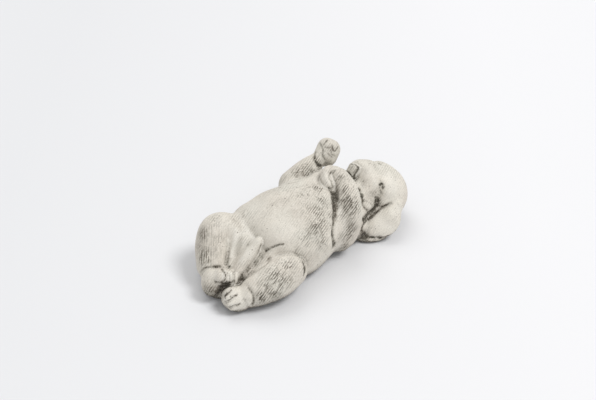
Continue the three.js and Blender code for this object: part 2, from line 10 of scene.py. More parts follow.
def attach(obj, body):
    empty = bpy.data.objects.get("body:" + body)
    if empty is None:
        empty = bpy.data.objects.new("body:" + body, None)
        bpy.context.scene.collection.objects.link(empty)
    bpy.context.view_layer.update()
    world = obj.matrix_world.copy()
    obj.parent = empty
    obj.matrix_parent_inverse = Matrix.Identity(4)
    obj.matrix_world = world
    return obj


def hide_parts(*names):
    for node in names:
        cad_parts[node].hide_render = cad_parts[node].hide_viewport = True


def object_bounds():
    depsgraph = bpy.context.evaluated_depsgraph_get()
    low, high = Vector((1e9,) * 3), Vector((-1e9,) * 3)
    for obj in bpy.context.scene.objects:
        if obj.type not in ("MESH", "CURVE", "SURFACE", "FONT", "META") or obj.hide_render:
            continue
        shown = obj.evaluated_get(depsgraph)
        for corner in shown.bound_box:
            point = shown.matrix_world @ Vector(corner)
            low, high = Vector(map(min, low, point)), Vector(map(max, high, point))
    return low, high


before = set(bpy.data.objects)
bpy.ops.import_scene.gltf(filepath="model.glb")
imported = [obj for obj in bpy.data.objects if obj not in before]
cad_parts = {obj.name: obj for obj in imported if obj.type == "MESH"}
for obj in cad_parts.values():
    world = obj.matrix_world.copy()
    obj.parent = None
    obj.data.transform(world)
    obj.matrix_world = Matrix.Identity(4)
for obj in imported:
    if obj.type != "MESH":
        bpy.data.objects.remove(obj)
cad_low, cad_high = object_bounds()

# ---------------------------------------------------------------- rounded forms, in mm
CELL = 1.45  # lattice cell of the fine surface, mm
LOW, HIGH = (-150.2, -92.1, -3.625), (210.0, 100.0, 130.0)
FAR, REACH = 60.0, 22.0
BASE_EDGE = 2.0


def unit(v):
    v = np.array(v, float)
    return v / np.linalg.norm(v)


def axes(x, z):
    """Columns x, y, z of a frame, from its x axis and the rough direction of its z axis."""
    x = unit(x)
    z = np.array(z, float)
    z = unit(z - (z @ x) * x)
    return np.stack([x, np.cross(z, x), z], 1)


def ell(centre, radii, a=(0, 0, 0), k=8, op="+"):
    return {"c": centre, "r": radii, "a": a, "k": k, "op": op}


def box(centre, half, rounding, a=(0, 0, 0), k=8, op="+"):
    return {"c": centre, "b": half, "r": rounding, "a": a, "k": k, "op": op}


def tube(*points, k=8, op="+"):
    return {"path": smooth(points, 8), "k": k, "op": op}


def smooth(points, steps):
    """Catmull-Rom curve through the points, the radius with them."""
    P = np.array(points, float)
    if len(P) == 2:
        return P
    Q = np.vstack([2 * P[0] - P[1], P, 2 * P[-1] - P[-2]])
    t = np.linspace(0, 1, steps, endpoint=False)[:, None]
    out = []
    for i in range(1, len(Q) - 2):
        a, b, c, d = Q[i - 1], Q[i], Q[i + 1], Q[i + 2]
        out.append(0.5 * (2 * b + (c - a) * t + (2 * a - 5 * b + 4 * c - d) * t**2 + (-a + 3 * b - 3 * c + d) * t**3))
    return np.vstack(out + [P[-1:]])


def line(points):
    points = [(*p, 0.0) for p in points]
    return smooth(points if len(points) > 1 else points * 2, 4)


def turn(degrees):
    m = Matrix.Rotation(math.radians(degrees[2]), 3, "Z") @ Matrix.Rotation(math.radians(degrees[1]), 3, "Y")
    return np.array(m @ Matrix.Rotation(math.radians(degrees[0]), 3, "X"))


def join(a, b, k):
    if k <= 0:
        return np.minimum(a, b)
    h = np.maximum(k - np.abs(a - b), 0) / k
    return np.minimum(a, b) - h * h * k * 0.25


def cut(a, b, k):
    return -join(-a, b, k)


def value(form, p):
    if "path" in form:
        best = None
        path = form["path"]
        for A, B in zip(path[:-1], path[1:]):
            v = B[:3] - A[:3]
            q = [p[j] - A[j] for j in range(3)]
            t = np.clip((q[0] * v[0] + q[1] * v[1] + q[2] * v[2]) / (v @ v + 1e-9), 0, 1)
            d = np.sqrt(sum((q[j] - t * v[j]) ** 2 for j in range(3))) - (A[3] + t * (B[3] - A[3]))
            best = d if best is None else np.minimum(best, d)
        return best
    R = turn(form["a"])
    q = [p[j] - form["c"][j] for j in range(3)]
    if "b" in form:
        e = [np.abs(R[0, j] * q[0] + R[1, j] * q[1] + R[2, j] * q[2]) - (form["b"][j] - form["r"]) for j in range(3)]
        far = np.sqrt(sum(np.maximum(v, 0) ** 2 for v in e))
        return far + np.minimum(np.maximum(np.maximum(e[0], e[1]), e[2]), 0) - form["r"]
    s = [(R[0, j] * q[0] + R[1, j] * q[1] + R[2, j] * q[2]) / form["r"][j] for j in range(3)]
    k0 = np.sqrt(s[0] ** 2 + s[1] ** 2 + s[2] ** 2)
    k1 = np.sqrt(sum((s[j] / form["r"][j]) ** 2 for j in range(3))) + 1e-9
    return k0 * (k0 - 1) / k1


def limits(form):
    if "path" in form:
        P = form["path"]
        return (P[:, :3] - P[:, 3:]).min(0), (P[:, :3] + P[:, 3:]).max(0)
    c, m = np.array(form["c"], float), 1.5 * max(form["b"]) if "b" in form else max(form["r"])
    return c - m, c + m


# ---------------------------------------------------------------- the puppy
# Way the carved coat lies: leaning over most of the body, upright down the right hind leg.
COAT_LEAN=(0.751,-0.083,0.654)
COAT_CROSS=(0.10,-0.80,0.60)
COAT_UPRIGHT=(0.44,0.41,0.80)
WORLD_LIGHT=0.53
LAMPS=(("right",(0.231,-0.468,0.85),1.45,22),("left",(0.159,0.49,0.85),0.66,40),("front",(-0.50,-0.55,0.67),0.16,30))
# Places on the surface, mm, each with its radius and strength: strokes of the coat, smooth stone, spots of painted
# shade and wash (with a negative strength, spots of painted light), upright coat.
COAT_PATCHES=(
    (121,-4,92,8,0.7),
    (68,41,94,12,0.75),
    (74,33,93,8,0.9),
    (118,31,115,10,0.35),
    (15,-34,93,18,0.7),
    (5,-47,81,20,0.8),
    (2,-57,62,16,0.75),
    (-16,-48,74,18,0.55),
    (8,-59,45,10,0.65),
    (-1,-25,97,16,0.4),
    (-18,-28,92,14,0.3),
    (15,23,100,20,0.4),
    (31,-45,84,8,0.6),
    (62,-53,90,18,0.95),
    (70,-37,101,16,0.75),
    (64,-61,80,14,0.85),
    (58,-65,57,15,0.95),
    (49,-61,43,13,0.85),
    (38,-58,48,11,0.85),
    (48,-57,27,8,0.8),
    (76,-26,109,13,0.6),
    (74,-54,94,9,0.8),
    (51,-53,76,14,0.6),
    (-79,-54,50,21,0.9),
    (-60,-53,55,15,0.7),
    (-48,-53,56,12,0.42),
    (-96,-52,41,15,0.85),
    (-105,-50,30,11,0.95),
    (-91,-59,33,12,0.9),
    (-71,-64,41,12,0.8),
    (-44,-44,58,12,0.25),
    (-62,-41,58,10,0.5),
    (-97,-42,46,9,0.45),
    (-101,64,68,15,0.6),
    (-117,48,50,15,0.7),
    (-82,62,80,15,0.5),
    (-94,46,66,12,0.5),
    (-103,37,55,10,0.5),
    (-118,37,47,9,0.7),
    (-70,25,66,7,0.3),
    (78,43,97,14,0.55),
    (58,49,94,12,0.5),
    (96,39,102,9,0.6),
    (81,33,93,8,0.7),
    (45,52,87,9,0.5),
    (47,-8,102,12,0.8),
    (36,0,104,12,0.5),
    (35,-26,98,12,0.6),
    (-2,6,102,15,0.35),
    (-19,15,98,15,0.3),
    (-54,41,75,12,0.25),
    (-4,48,90,15,0.25),
    (13,0,103,12,0.4),
    (136,-20,88,10,0.35),
    (110,-35,68,8,0.5),
    (158,-62,57,12,0.15),
    (163,-46,77,10,0.15),
    (-138,11,27,10,0.5),
    (-31,-47,63,12,0.35),
    (-19,-55,42,10,0.4),
    (74,-6,114,7,0.4),
)
SMOOTH_PATCHES=(
    (122,-64,30,19,0.95),
    (-125,-26,29,13,0.95),
    (-79,-2,63,10,0.6),
    (-47,-5,82,30,0.85),
    (-9,-18,98,18,0.5),
    (155,-53,74,24,0.85),
    (134,-33,79,20,0.6),
    (151,-64,50,18,0.8),
    (117,-37,65,10,0.5),
    (142,-18,91,12,0.7),
    (-85,30,51,8,0.7),
    (121,-3,92,6,0.7),
)
# Spots of painted shade, partly wash, in gaps and hollows; a negative strength paints a lighter spot of painted light.
SHADE_AND_LIGHT_SPOTS=(
    (-38,-62,44,3,1.0),
    (-40,-64,40,2.4,0.7),
    (-79,38,60,5,-0.5),
    (-86,32,51,5,-0.3),
    (121,-5,91,7,0.35),
    (-99,70,68,9,0.3),
    (-111,60,57,9,0.3),
    (-119,48,48,8,0.3),
    (62,39,92,12,0.25),
    (81,33,93,7,0.55),
    (68,33,93,8,0.4),
    (79,20,100,4,0.5),
    (-104,59,64,9,0.25),
    (112,27,103,7,0.2),
    (-80,4,62,7,-0.75),
    (-90,2,55,7,-0.75),
    (63,-8,110,13,-0.7),
    (-110,47,57,10,0.2),
    (-122,44,45,9,0.25),
    (-141,15,24,12,0.55),
    (-133,8,20,8,0.45),
    (-125,5,29,5,0.8),
    (-121,-1,33,4,0.9),
    (-83,18,50,6,0.12),
    (-88,-11,46,6,0.35),
    (-67,-13,58,7,0.22),
    (-79,-13,52,7,0.28),
    (-102,-11,36,5,0.4),
    (-111,62,56,7,0.35),
    (58,-52,86,8,0.25),
    (56,-64,58,6,0.2),
    (-91,-59,28,8,0.3),
    (-106,-50,27,7,0.35),
    (-60,-15,62,5,0.35),
    (-70,-16,56,5,0.3),
    (-135,-4,22,4,0.6),
    (130,-47,53,4.5,1.2),
    (128,-48,48,6.2,1.2),
    (123,-47,44,6.4,1.2),
    (118,-45,40,6.4,1.2),
    (110,-45,37,6,1.1),
    (100,-48,38,5,0.9),
    (93,-54,21,6.5,1.4),
    (91,-52,14,5.5,1.3),
    (99,-52,11,6,1.2),
    (99,-56,9,4,0.8),
    (106,-64,8,3,0.4),
    (117,-17,78,2.2,0.5),
    (99,-55,10,4,0.9),
    (110,-34,68,3.6,1.2),
    (109,-39,62,2.4,0.8),
    (113,-28,74,2.4,0.8),
    (120,-12,83,3,1.3),
    (131,-9,95,2,1.2),
    (93,-20,112,1.8,0.8),
    (119,-11,82,2.6,1.2),
    (112,-70,11,3.6,0.7),
    (106,-62,11,3,0.6),
    (123,-49,37,2.4,1.3),
    (117,-48,34,2.6,1.3),
    (112,-46,31,2.4,1.0),
    (140,-44,77,1.6,0.9),
    (94,34,95,4,0.7),
    (96,43,103,3.2,0.5),
    (63,25,96,6,0.3),
    (61,-24,94,4,0.9),
    (55,-32,92,4.2,0.75),
    (47,-40,87,4.6,0.75),
    (39,-47,81,4.2,0.6),
    (35,-34,93,10,0.15),
    (-2,-49,77,14,0.14),
    (-33,-56,48,5,0.2),
    (24,-58,42,4,0.7),
    (119,-63,28,26,-0.9),
    (137,-69,42,18,-0.7),
    (-77,52,79,14,-0.5),
    (111,-55,25,12,-0.5),
    (149,-28,86,16,-0.6),
    (153,-54,72,20,-0.6),
    (138,-14,92,12,-0.4),
    (-125,-29,27,16,-0.6),
    (-80,-4,61,9,-0.6),
    (-91,-1,53,8,-0.45),
    (-62,-1,73,7,-0.5),
    (-79,32,58,8,-0.5),
    (-68,35,70,9,-0.6),
    (-71,46,76,12,-0.5),
    (-38,34,84,24,-0.6),
    (-35,-23,86,20,-0.5),
    (-53,-50,57,12,-0.4),
    (-76,-40,56,10,-0.3),
    (-111,-1,46,8,-0.4),
    (-114,-2,47,6,-0.7),
    (137,4,94,6,-0.3),
    (-121,33,42,6,-0.6),
    (126,-21,80,12,0.2),
    (125,-40,66,8,0.22),
    (136,-16,90,7,0.14),
    (61,-47,93,9,0.28),
    (63,-55,89,7,0.25),
    (-16,-15,97,10,0.1),
    (-56,-42,58,11,-0.6),
    (-58,-30,55,8,-0.4),
    (-24,-41,79,10,-0.3),
    (125,-73,26,12,-0.9),
    (-129,18,44,9,-0.3),
)
UPRIGHT_COAT=(
    (-96,55,70,22,1.0),
    (-114,44,53,22,1.0),
    (-82,47,72,14,0.8),
    (-100,35,54,14,0.8),
)
# Cut lines: name, width, depth, darkness and points. The darkness is partly the wash held in the cut and partly painted
# shade in gaps and under overhangs; a negative darkness paints a highlight.
STROKES=[
    ("mouth",1.9,3.2,2.0,[(131.1,-5.0,97.0),(131.7,-7.8,95.9),(130.8,-10.2,94.8),(128.7,-11.3,92.2),(125.2,-11.2,89.0),(122.0,-11.2,86.0),(119.6,-11.7,82.3)]),
    ("mouth_top",1.0,1.8,1.1,[(126.6,1.6,97.3),(127.6,-1.6,98.5),(130.0,-3.6,97.8),(131.7,-5.6,96.7)]),
    ("face_spot_a",0.6,0.5,1.2,[(132.0,-42.7,65.9)]),
    ("face_spot_b",0.6,0.5,1.1,[(128.6,-44.0,60.0)]),
    ("face_spot_c",0.6,0.5,1.0,[(133.5,-46.2,60.5)]),
    ("face_spot_d",0.6,0.5,0.9,[(122.2,-43.6,57.6)]),
    ("face_spot_e",0.6,0.5,0.8,[(126.1,-23.0,79.6)]),
    ("face_spot_f",0.6,0.4,0.8,[(127.8,-33.5,75.1)]),
    ("mouth_low",1.0,0.8,0.4,[(112.0,-38.6,62.8),(116.0,-41.8,57.3),(120.4,-45.0,52.9)]),
    ("chin_edge",1.2,0.8,1.3,[(117.8,-0.5,90.0),(117.5,-4.2,88.0),(118.0,-7.4,85.5),(118.7,-10.2,83.5)]),
    ("chin_lines",0.8,0.5,0.25,[(123.7,0.7,95.3),(119.2,-0.5,91.3)]),
    ("cheek",4.2,3.4,0.1,[(136.4,-45.3,69.4),(132.3,-45.7,59.5),(128.7,-47.2,51.6)]),
    ("cheek_deep",2.2,4.6,1.1,[(131.4,-45.5,58.8),(131.1,-47.1,53.8),(129.4,-48.0,48.8),(126.4,-48.1,45.5)]),
    ("flew_under",2.6,3.4,1.1,[(128.0,-48.2,46.5),(121.9,-47.2,43.6),(117.0,-45.1,39.9),(110.9,-45.0,36.5),(100.6,-48.0,38.6)]),
    ("flew_front",1.5,2.2,0.8,[(114.3,-25.8,75.0),(111.9,-31.3,71.4),(109.7,-36.2,66.1),(106.1,-39.6,60.2),(108.0,-42.3,52.5),(112.0,-43.9,45.7)]),
    ("flew_lobe",4.0,-1.6,-0.2,[(115.7,-42.1,56.2),(114.9,-43.8,51.1)]),
    ("ear_crease",1.2,2.4,1.0,[(142.4,-58.4,48.0),(138.1,-55.5,45.7),(134.1,-52.3,43.0),(129.2,-51.0,40.5)]),
    ("ear_crease_end",0.8,1.2,0.55,[(146.3,-61.0,49.2),(144.3,-59.7,48.7),(142.4,-58.4,48.0)]),
    ("ear_crease_low",1.4,3.0,1.1,[(129.2,-51.0,40.5),(121.1,-49.3,36.2),(114.1,-46.8,31.7),(100.5,-50.6,34.3),(93.3,-52.3,32.6),(90.0,-53.4,27.6)]),
    ("ear_ridge",0.9,-0.9,0.0,[(124.9,-48.3,38.9),(121.3,-47.3,36.8)]),
    ("ear_lip",1.1,1.4,0.9,[(96.4,-53.0,17.4),(100.5,-54.5,11.4),(103.9,-60.0,11.0),(109.0,-66.8,11.0),(117.1,-74.1,10.6),(122.3,-77.3,12.2)]),
    ("ear_lip_light",1.2,-0.6,-0.3,[(88.0,-51.0,14.0),(99.7,-58.1,7.7),(114.0,-68.6,4.8)]),
    ("eye_socket",3.6,1.8,0.06,[(139.9,-43.8,77.3),(138.6,-46.7,72.4)]),
    ("eye_line_l",0.9,1.4,0.7,[(139.6,-42.7,77.6),(137.7,-44.3,73.5),(136.8,-46.3,68.6),(137.2,-49.2,63.9)]),
    ("eye_line_r",1.1,1.6,1.6,[(141.2,-44.6,77.7),(140.8,-47.1,74.9),(139.6,-48.5,71.4)]),
    ("eye_ball",1.3,-1.4,-0.6,[(138.8,-46.1,73.4),(138.0,-47.2,70.2)]),
    ("eye_top",1.6,1.4,2.2,[(138.8,-43.2,76.2),(140.7,-43.9,77.8),(141.4,-45.7,77.1)]),
    ("eye_tear",0.8,0.5,0.9,[(143.1,-41.1,80.7)]),
    ("brow",5.0,-1.2,-0.05,[(148.8,-46.3,79.0),(145.9,-51.8,72.8),(142.3,-53.4,65.9)]),
    ("brow_far_spot",1.2,1.6,0.75,[(168.1,-16.7,85.4),(169.7,-18.7,84.5)]),
    ("brow_far_dip",4.0,1.8,0.1,[(155.0,-17.6,91.5),(155.5,-23.9,87.3),(152.7,-31.0,83.5)]),
    ("stop",5.0,1.5,0.05,[(151.6,-27.2,85.7),(147.0,-33.9,82.6),(141.6,-38.4,80.7)]),
    ("nose_rim",1.5,0.7,0.15,[(137.3,3.0,94.2),(137.2,-2.7,95.6),(136.6,-8.8,94.1)]),
    ("foreleg_fold",4.0,6.2,1.15,[(63.1,-23.8,94.8),(57.3,-30.3,92.7),(49.8,-37.7,88.8),(42.0,-44.8,83.2),(35.6,-49.9,77.6)]),
    ("foreleg_fold_top",1.8,2.6,0.8,[(58.5,-17.5,99.8),(61.7,-19.9,96.9),(62.5,-24.3,94.6)]),
    ("foreleg_fold_low",2.0,4.6,1.0,[(35.6,-49.9,77.6),(28.4,-53.6,71.8),(23.4,-56.7,64.3),(23.0,-58.8,53.6),(26.0,-57.7,38.9)]),
    ("foreleg_pocket",1.8,3.0,1.05,[(27.2,-58.6,44.9),(26.4,-57.4,37.6)]),
    ("wrist_left",1.5,2.2,0.35,[(80.0,-9.1,114.7),(75.1,-7.3,111.8),(68.6,-9.4,111.1),(66.5,-12.0,109.2),(67.2,-15.3,106.6),(65.8,-18.2,104.1),(66.2,-19.9,99.6)]),
    ("paw_left_toe",1.0,0.5,0.2,[(66.9,1.8,113.2),(62.0,-5.8,110.0),(59.4,-12.8,105.6),(59.3,-17.5,101.3)]),
    ("foreleg_edge",2.6,-0.6,-0.05,[(60.0,-34.4,93.3),(53.1,-41.4,87.1),(46.9,-47.1,80.0),(38.5,-52.0,73.6),(31.3,-55.8,66.1)]),
    ("wrist_right",1.3,2.2,1.0,[(104.6,49.4,105.1),(97.4,43.6,103.8),(94.5,39.0,100.6),(94.8,34.7,96.0),(99.8,32.2,91.8)]),
    ("foreleg_right_under",2.0,1.2,0.6,[(78.1,23.4,98.4),(71.8,25.2,96.5)]),
    ("foreleg_right_root",2.0,1.6,0.2,[(43.9,25.9,99.0),(36.9,30.7,97.5),(33.3,38.7,93.1)]),
    ("pad_main",5.0,-1.6,-0.1,[(109.1,32.5,106.6),(110.1,28.6,103.6)]),
    ("pad_ring",0.9,0.9,0.68,[(115.0,49.8,116.3),(111.8,43.1,115.1),(109.3,38.4,111.3),(106.0,36.0,106.5),(105.9,32.2,101.4)]),
    ("pad_line1",0.9,1.4,0.95,[(122.5,42.5,121.0),(118.0,41.8,119.8),(114.6,41.8,117.7)]),
    ("pad_line2",0.9,1.0,0.6,[(113.0,38.1,115.1),(115.6,34.7,115.0),(118.4,32.6,115.6),(121.9,32.7,117.3)]),
    ("pad_line3",0.9,1.1,0.7,[(121.4,31.5,116.4),(119.6,28.7,112.7),(120.9,26.4,109.7),(125.2,26.4,111.7),(129.5,27.6,112.8)]),
    ("pad_line4",0.9,0.8,0.6,[(117.2,29.9,112.0),(115.1,28.8,108.7),(116.5,26.5,106.3),(119.6,24.7,103.3)]),
    ("pad_line5",0.9,0.9,0.6,[(112.0,31.3,108.4),(112.7,28.0,105.5),(114.7,26.0,103.7)]),
    ("pad_toe1",2.0,-1.0,-0.2,[(117.4,37.3,118.2)]),
    ("pad_toe2",1.8,-0.9,0.1,[(122.4,28.8,114.4)]),
    ("groin",1.1,2.6,0.8,[(-44.8,-30.2,71.2),(-50.2,-24.1,68.9),(-56.2,-17.9,64.3),(-62.2,-13.6,60.3)]),
    ("groin_hollow",3.2,3.4,0.22,[(-62.7,-12.2,60.2),(-69.4,-14.1,56.8),(-77.9,-14.9,52.2),(-85.1,-14.5,47.9)]),
    ("leg_left_top",1.6,2.6,0.42,[(-63.8,-24.2,54.7),(-74.7,-26.2,52.4),(-87.5,-23.4,48.5),(-96.9,-18.8,42.8),(-103.0,-10.6,34.0)]),
    ("leg_left_deep",2.0,2.4,0.4,[(-88.2,-18.5,45.3),(-96.4,-15.4,40.9),(-102.5,-11.1,34.4)]),
    ("thigh_line",0.8,0.5,0.1,[(-57.3,-24.7,58.2),(-47.4,-33.5,61.6),(-39.8,-41.3,61.4),(-33.9,-49.4,54.0),(-35.8,-56.4,50.6)]),
    ("knee_left",1.3,3.0,1.2,[(-35.4,-57.8,48.9),(-36.3,-61.3,44.6),(-39.1,-63.9,41.0),(-42.6,-65.6,37.2)]),
    ("ankle_left",1.4,2.6,0.9,[(-111.7,-30.8,38.5),(-112.5,-36.9,35.8),(-113.0,-41.3,31.1),(-113.9,-42.6,24.6),(-114.8,-41.1,17.3)]),
    ("ankle_left_soft",3.5,1.0,0.18,[(-109.8,-23.4,38.8),(-111.6,-34.3,38.0),(-112.1,-41.9,31.8)]),
    ("shank_valley",1.8,0.8,0.05,[(-81.1,35.8,57.2),(-84.5,33.3,52.8),(-87.7,30.9,49.1)]),
    ("shank_low",1.6,2.6,0.35,[(-87.7,30.9,49.1),(-93.0,27.3,44.0),(-99.4,22.8,39.3)]),
    ("thigh_ridge",2.4,-1.6,-0.35,[(-67.2,35.6,70.5),(-75.1,31.1,62.2),(-82.5,27.7,53.0),(-89.5,24.3,45.3)]),
    ("hip_hollow",3.5,0.8,0.1,[(-69.8,23.6,66.6),(-77.2,20.2,59.2),(-83.2,18.3,50.2),(-91.8,15.5,43.2)]),
    ("leg_right_dot",1.1,3.0,1.7,[(-99.3,17.3,38.3)]),
    ("tail_left",1.5,0.6,0.08,[(-62.1,10.9,67.4),(-76.7,8.2,60.5),(-90.0,7.5,51.9),(-97.2,11.0,42.2)]),
    ("tail_right",1.5,2.4,0.3,[(-61.4,-6.2,64.6),(-69.5,-9.9,57.0),(-81.5,-11.3,50.7),(-92.7,-10.0,44.1),(-100.0,-7.8,39.5)]),
    ("rump_line",1.6,2.0,0.6,[(-100.0,-7.8,39.5),(-104.4,-9.7,33.0)]),
    ("ankle_right_a",1.2,1.3,0.35,[(-127.4,43.5,31.7),(-124.8,37.7,39.4),(-119.5,31.9,42.4)]),
    ("ankle_right_b",1.3,2.2,0.0,[(-135.7,29.5,35.7),(-132.1,28.9,40.3),(-126.1,29.3,42.4),(-117.3,27.8,41.7),(-109.0,24.5,39.6)]),
    ("toe_r1",1.3,2.0,0.8,[(-114.3,15.6,45.8),(-118.6,6.4,48.8),(-120.7,1.1,46.8),(-123.9,-0.4,42.5),(-127.4,2.2,38.0),(-130.3,8.0,36.4)]),
    ("toe_r2",0.9,1.2,0.3,[(-115.3,4.1,48.1),(-116.4,-1.1,46.1),(-119.0,-4.3,42.7)]),
    ("toe_r3",0.9,1.0,0.15,[(-105.8,1.5,42.9),(-112.3,-4.5,43.7),(-115.7,-7.0,40.5)]),
    ("toe_r_under",1.4,2.8,1.0,[(-131.1,9.8,36.5),(-129.8,5.9,36.6),(-127.6,2.5,36.2),(-125.0,0.5,35.0),(-122.7,-3.0,38.1)]),
    ("paw_right_under",2.2,2.6,1.1,[(-124.4,2.3,31.8),(-122.7,-2.1,34.7),(-120.2,-6.0,36.9),(-116.0,-8.1,37.9)]),
    ("toe_l1",0.9,1.8,1.1,[(-126.6,-15.1,35.9),(-130.5,-15.3,33.4),(-133.9,-13.2,30.9),(-135.7,-11.1,27.2),(-138.4,-14.7,27.8)]),
    ("toe_l2",1.0,2.0,1.1,[(-124.3,-22.9,30.8),(-129.8,-22.2,29.7),(-133.7,-21.4,28.3),(-137.1,-19.1,25.5)]),
    ("toe_l3",1.0,1.6,0.8,[(-127.0,-30.7,21.1),(-130.4,-28.6,19.2),(-133.1,-27.0,20.0),(-136.3,-24.2,18.0)]),
    ("toe_l_dot1",0.7,1.0,1.35,[(-132.7,-12.2,33.4)]),
    ("toe_l_dot2",0.7,1.0,1.35,[(-133.1,-20.1,31.1)]),
    ("toe_l_b1",1.6,-0.6,-0.2,[(-135.1,-18.5,30.8)]),
    ("toe_l_b2",1.8,-0.6,-0.1,[(-134.9,-24.3,24.8)]),
]
# A frame that faces the side of the statue on show: x to its right, y up, z out.
SHOWN = axes((0.682, -0.731, 0), (-0.584, -0.545, 0.602))
def model():
    G=[]
    # Belly, rump, right haunch, chest and neck.
    G.append(dict(name="trunk",k=0,forms=[
        ell((4,2,49),(66,61,53),k=0),
        ell((-4,0,24),(60,55,32),k=10),
        ell((-58,4,20),(46,50,28),k=10),
        ell((-100,25,13),(33,30,24),k=12),
        ell((-26,42,48),(32,36,36),k=9),
        ell((44,2,51),(50,57,51),k=20),
        tube((70,3,50,40),(122,-12,44,33),k=18),
        ell((94,-30,24),(24,24,24),k=8),
        ell((2,22,52),(54,52,43.5),k=8),
        ell((79,9,88),(24,20,15),k=8),
        ell((-64,22,46),(16,14,22),k=10),
        tube((-64,11,58,7.5),(-76,14,45,7.5),(-88,14,35,7),k=8),
        tube((-60,41,59,14),(-73,34.5,45,12.5),(-86,27.5,33.5,9.5),k=10)]))
    # Left thigh, blended into the belly, and the left leg lying along the floor.
    G.append(dict(name="thigh_left",k=8,forms=[
        tube((-86,-10,28,17),(-58,-12,40,20),(-30,-12,42,22),k=0)]))
    G.append(dict(name="leg_left",k=2,forms=[
        tube((-46,-41.5,34,24.5),(-68,-40,31,26),(-90,-33,26,23),(-106,-26,20,17.5),k=0)]))
    G.append(dict(name="hind_paw_left",o=(-119.5,-17.3,17.7),M=SHOWN,k=1.5,forms=[
        ell((-0.5,-0.5,0),(20.5,17.3,15),a=(0,0,-15),k=0),
        ell((-10,9,9),(5.2,8.6,6),a=(0,0,-52),k=2),
        ell((-9,2,12),(4.6,8.4,6),a=(0,0,-62),k=1.2),
        ell((-6,-5.5,11.5),(4.6,8.4,6),a=(0,0,-72),k=1.2),
        ell((-2.5,-12,7),(4,7.6,5.5),a=(0,0,-80),k=1.2)]))
    # Right leg, its knee up on the far side, its heel on the floor and its toes over the left paw.
    G.append(dict(name="leg_right",k=6,forms=[
        tube((-56,54,52,25),(-73,65,58,24.5),(-88,59,45,25),(-107,43.5,31,20.5),k=0)]))
    G.append(dict(name="hind_paw_right",o=(-115,16,32),M=SHOWN,k=1.5,forms=[
        ell((-12.5,-7.5,-2),(14.5,19,17),k=0),
        ell((0,-0.5,4),(23,12.3,13),k=3),
        ell((-0.6,0.5,14),(5.4,9.6,6.4),a=(0,0,12),k=4),
        ell((6.6,0.3,14.4),(4.8,9.3,6.4),a=(0,0,5),k=3),
        ell((13.0,-1.2,13.6),(4.2,8.8,6.4),a=(0,0,-2),k=3),
        ell((18.8,-3.4,10.8),(4.4,8.6,6.6),a=(0,0,-12),k=3)]))
    # Tail, up between the legs onto the belly.
    G.append(dict(name="tail",k=3,forms=[
        tube((-106,2,24,13),(-92,2,37,11.5),(-76,1,54,9.4),(-60.5,0.5,67,6.2),k=0)]))
    # Right foreleg, raised clear of the neck, the sole of its paw on show.
    G.append(dict(name="foreleg_right",k=6,forms=[
        tube((76,40,48,24),(57,50,70,18),k=0),
        tube((60,50.5,76,18),(83,50.5,86.5,13.8),(107,44,94,12),k=8),
        tube((70,38,78,15),(93,37,85.5,9.5),k=4)]))
    G.append(dict(name="fore_paw_right",o=(121,41.5,101.5),M=SHOWN,k=2,forms=[
        box((0.5,0,0),(17,20,15),14.5,a=(0,0,-24),k=0)]))
    # Left foreleg, folded across the chest, and its paw turned over at the wrist.
    G.append(dict(name="foreleg_left",k=9,forms=[
        tube((58,-41,22,15.5),(62,-45,37,19.5),(66.5,-47,60,19.5),(72,-42,80,17.8),(82,-29,92,15.5),(84.7,-15,104,12.5),k=0)]))
    G.append(dict(name="fore_paw_left",k=4,forms=[
        tube((86,-5,108,8),(78.7,1,110,7.6),(69.4,-2.6,106.5,7.8),(64.3,-12.2,100,7.5),k=0)]))
    # Head: the skull, brows and far lip in a frame along the muzzle, the near side in the shown frame.
    HEAD=(161.8,-24.7,43.5)
    M=axes((-0.453,0.356,0.817),(0.543,-0.619,0.572))
    G.append(dict(name="head",o=HEAD,M=M,k=5,forms=[
        ell((0,0,2),(37,38,38),k=0),
        ell((-12,2,4),(30,32,30),k=10),
        ell((18,19,17),(16,10,10),k=12),
        ell((18,-18,15),(16,10,10),k=14),
        tube((22,0,0,22),(42,-3,-1,16),k=10),
        tube((38,-6,-3,13),(26,-16,-9,14),(6,-26,-18,12.5),k=6)]))
    G.append(dict(name="muzzle",o=HEAD,M=SHOWN,k=7,forms=[
        tube((-29.5,29,22,14),(-19.4,27,18,16.6),k=0),
        tube((-19.4,27,18,16.6),(-19,6.8,27,16.5),(-15.5,-18.5,27,11.5),k=5),
        ell((-31.5,35.4,22),(11,8.6,13),a=(0,0,6),k=3)]))
    G.append(dict(name="chin",o=HEAD,M=SHOWN,k=1,forms=[
        box((-39.6,27.7,26.5),(8.5,11,15),4,a=(0,0,-28),k=0)]))
    # Left ear, laid out over the floor.
    G.append(dict(name="ear_left",o=(126,-60,25),M=axes((0.809,-0.461,0.367),(-0.45,-0.50,0.74)),k=2.5,forms=[
        ell((0,0,0),(28.5,22,8),k=0),
        tube((16,2,0,9),(30,13,-6,11),k=10)]))
    G.append(dict(name="ear_left_base",k=2,forms=[
        ell((116,-48,6),(28,19,10),a=(0,0,-40),k=0)]))
    G.append(dict(name="ear_right",o=(170,28,28),M=axes((-0.3,0.6,-0.6),(0.3,0.8,0.4)),k=3,forms=[
        ell((0,0,0),(34,24,7),k=0)]))
    return G



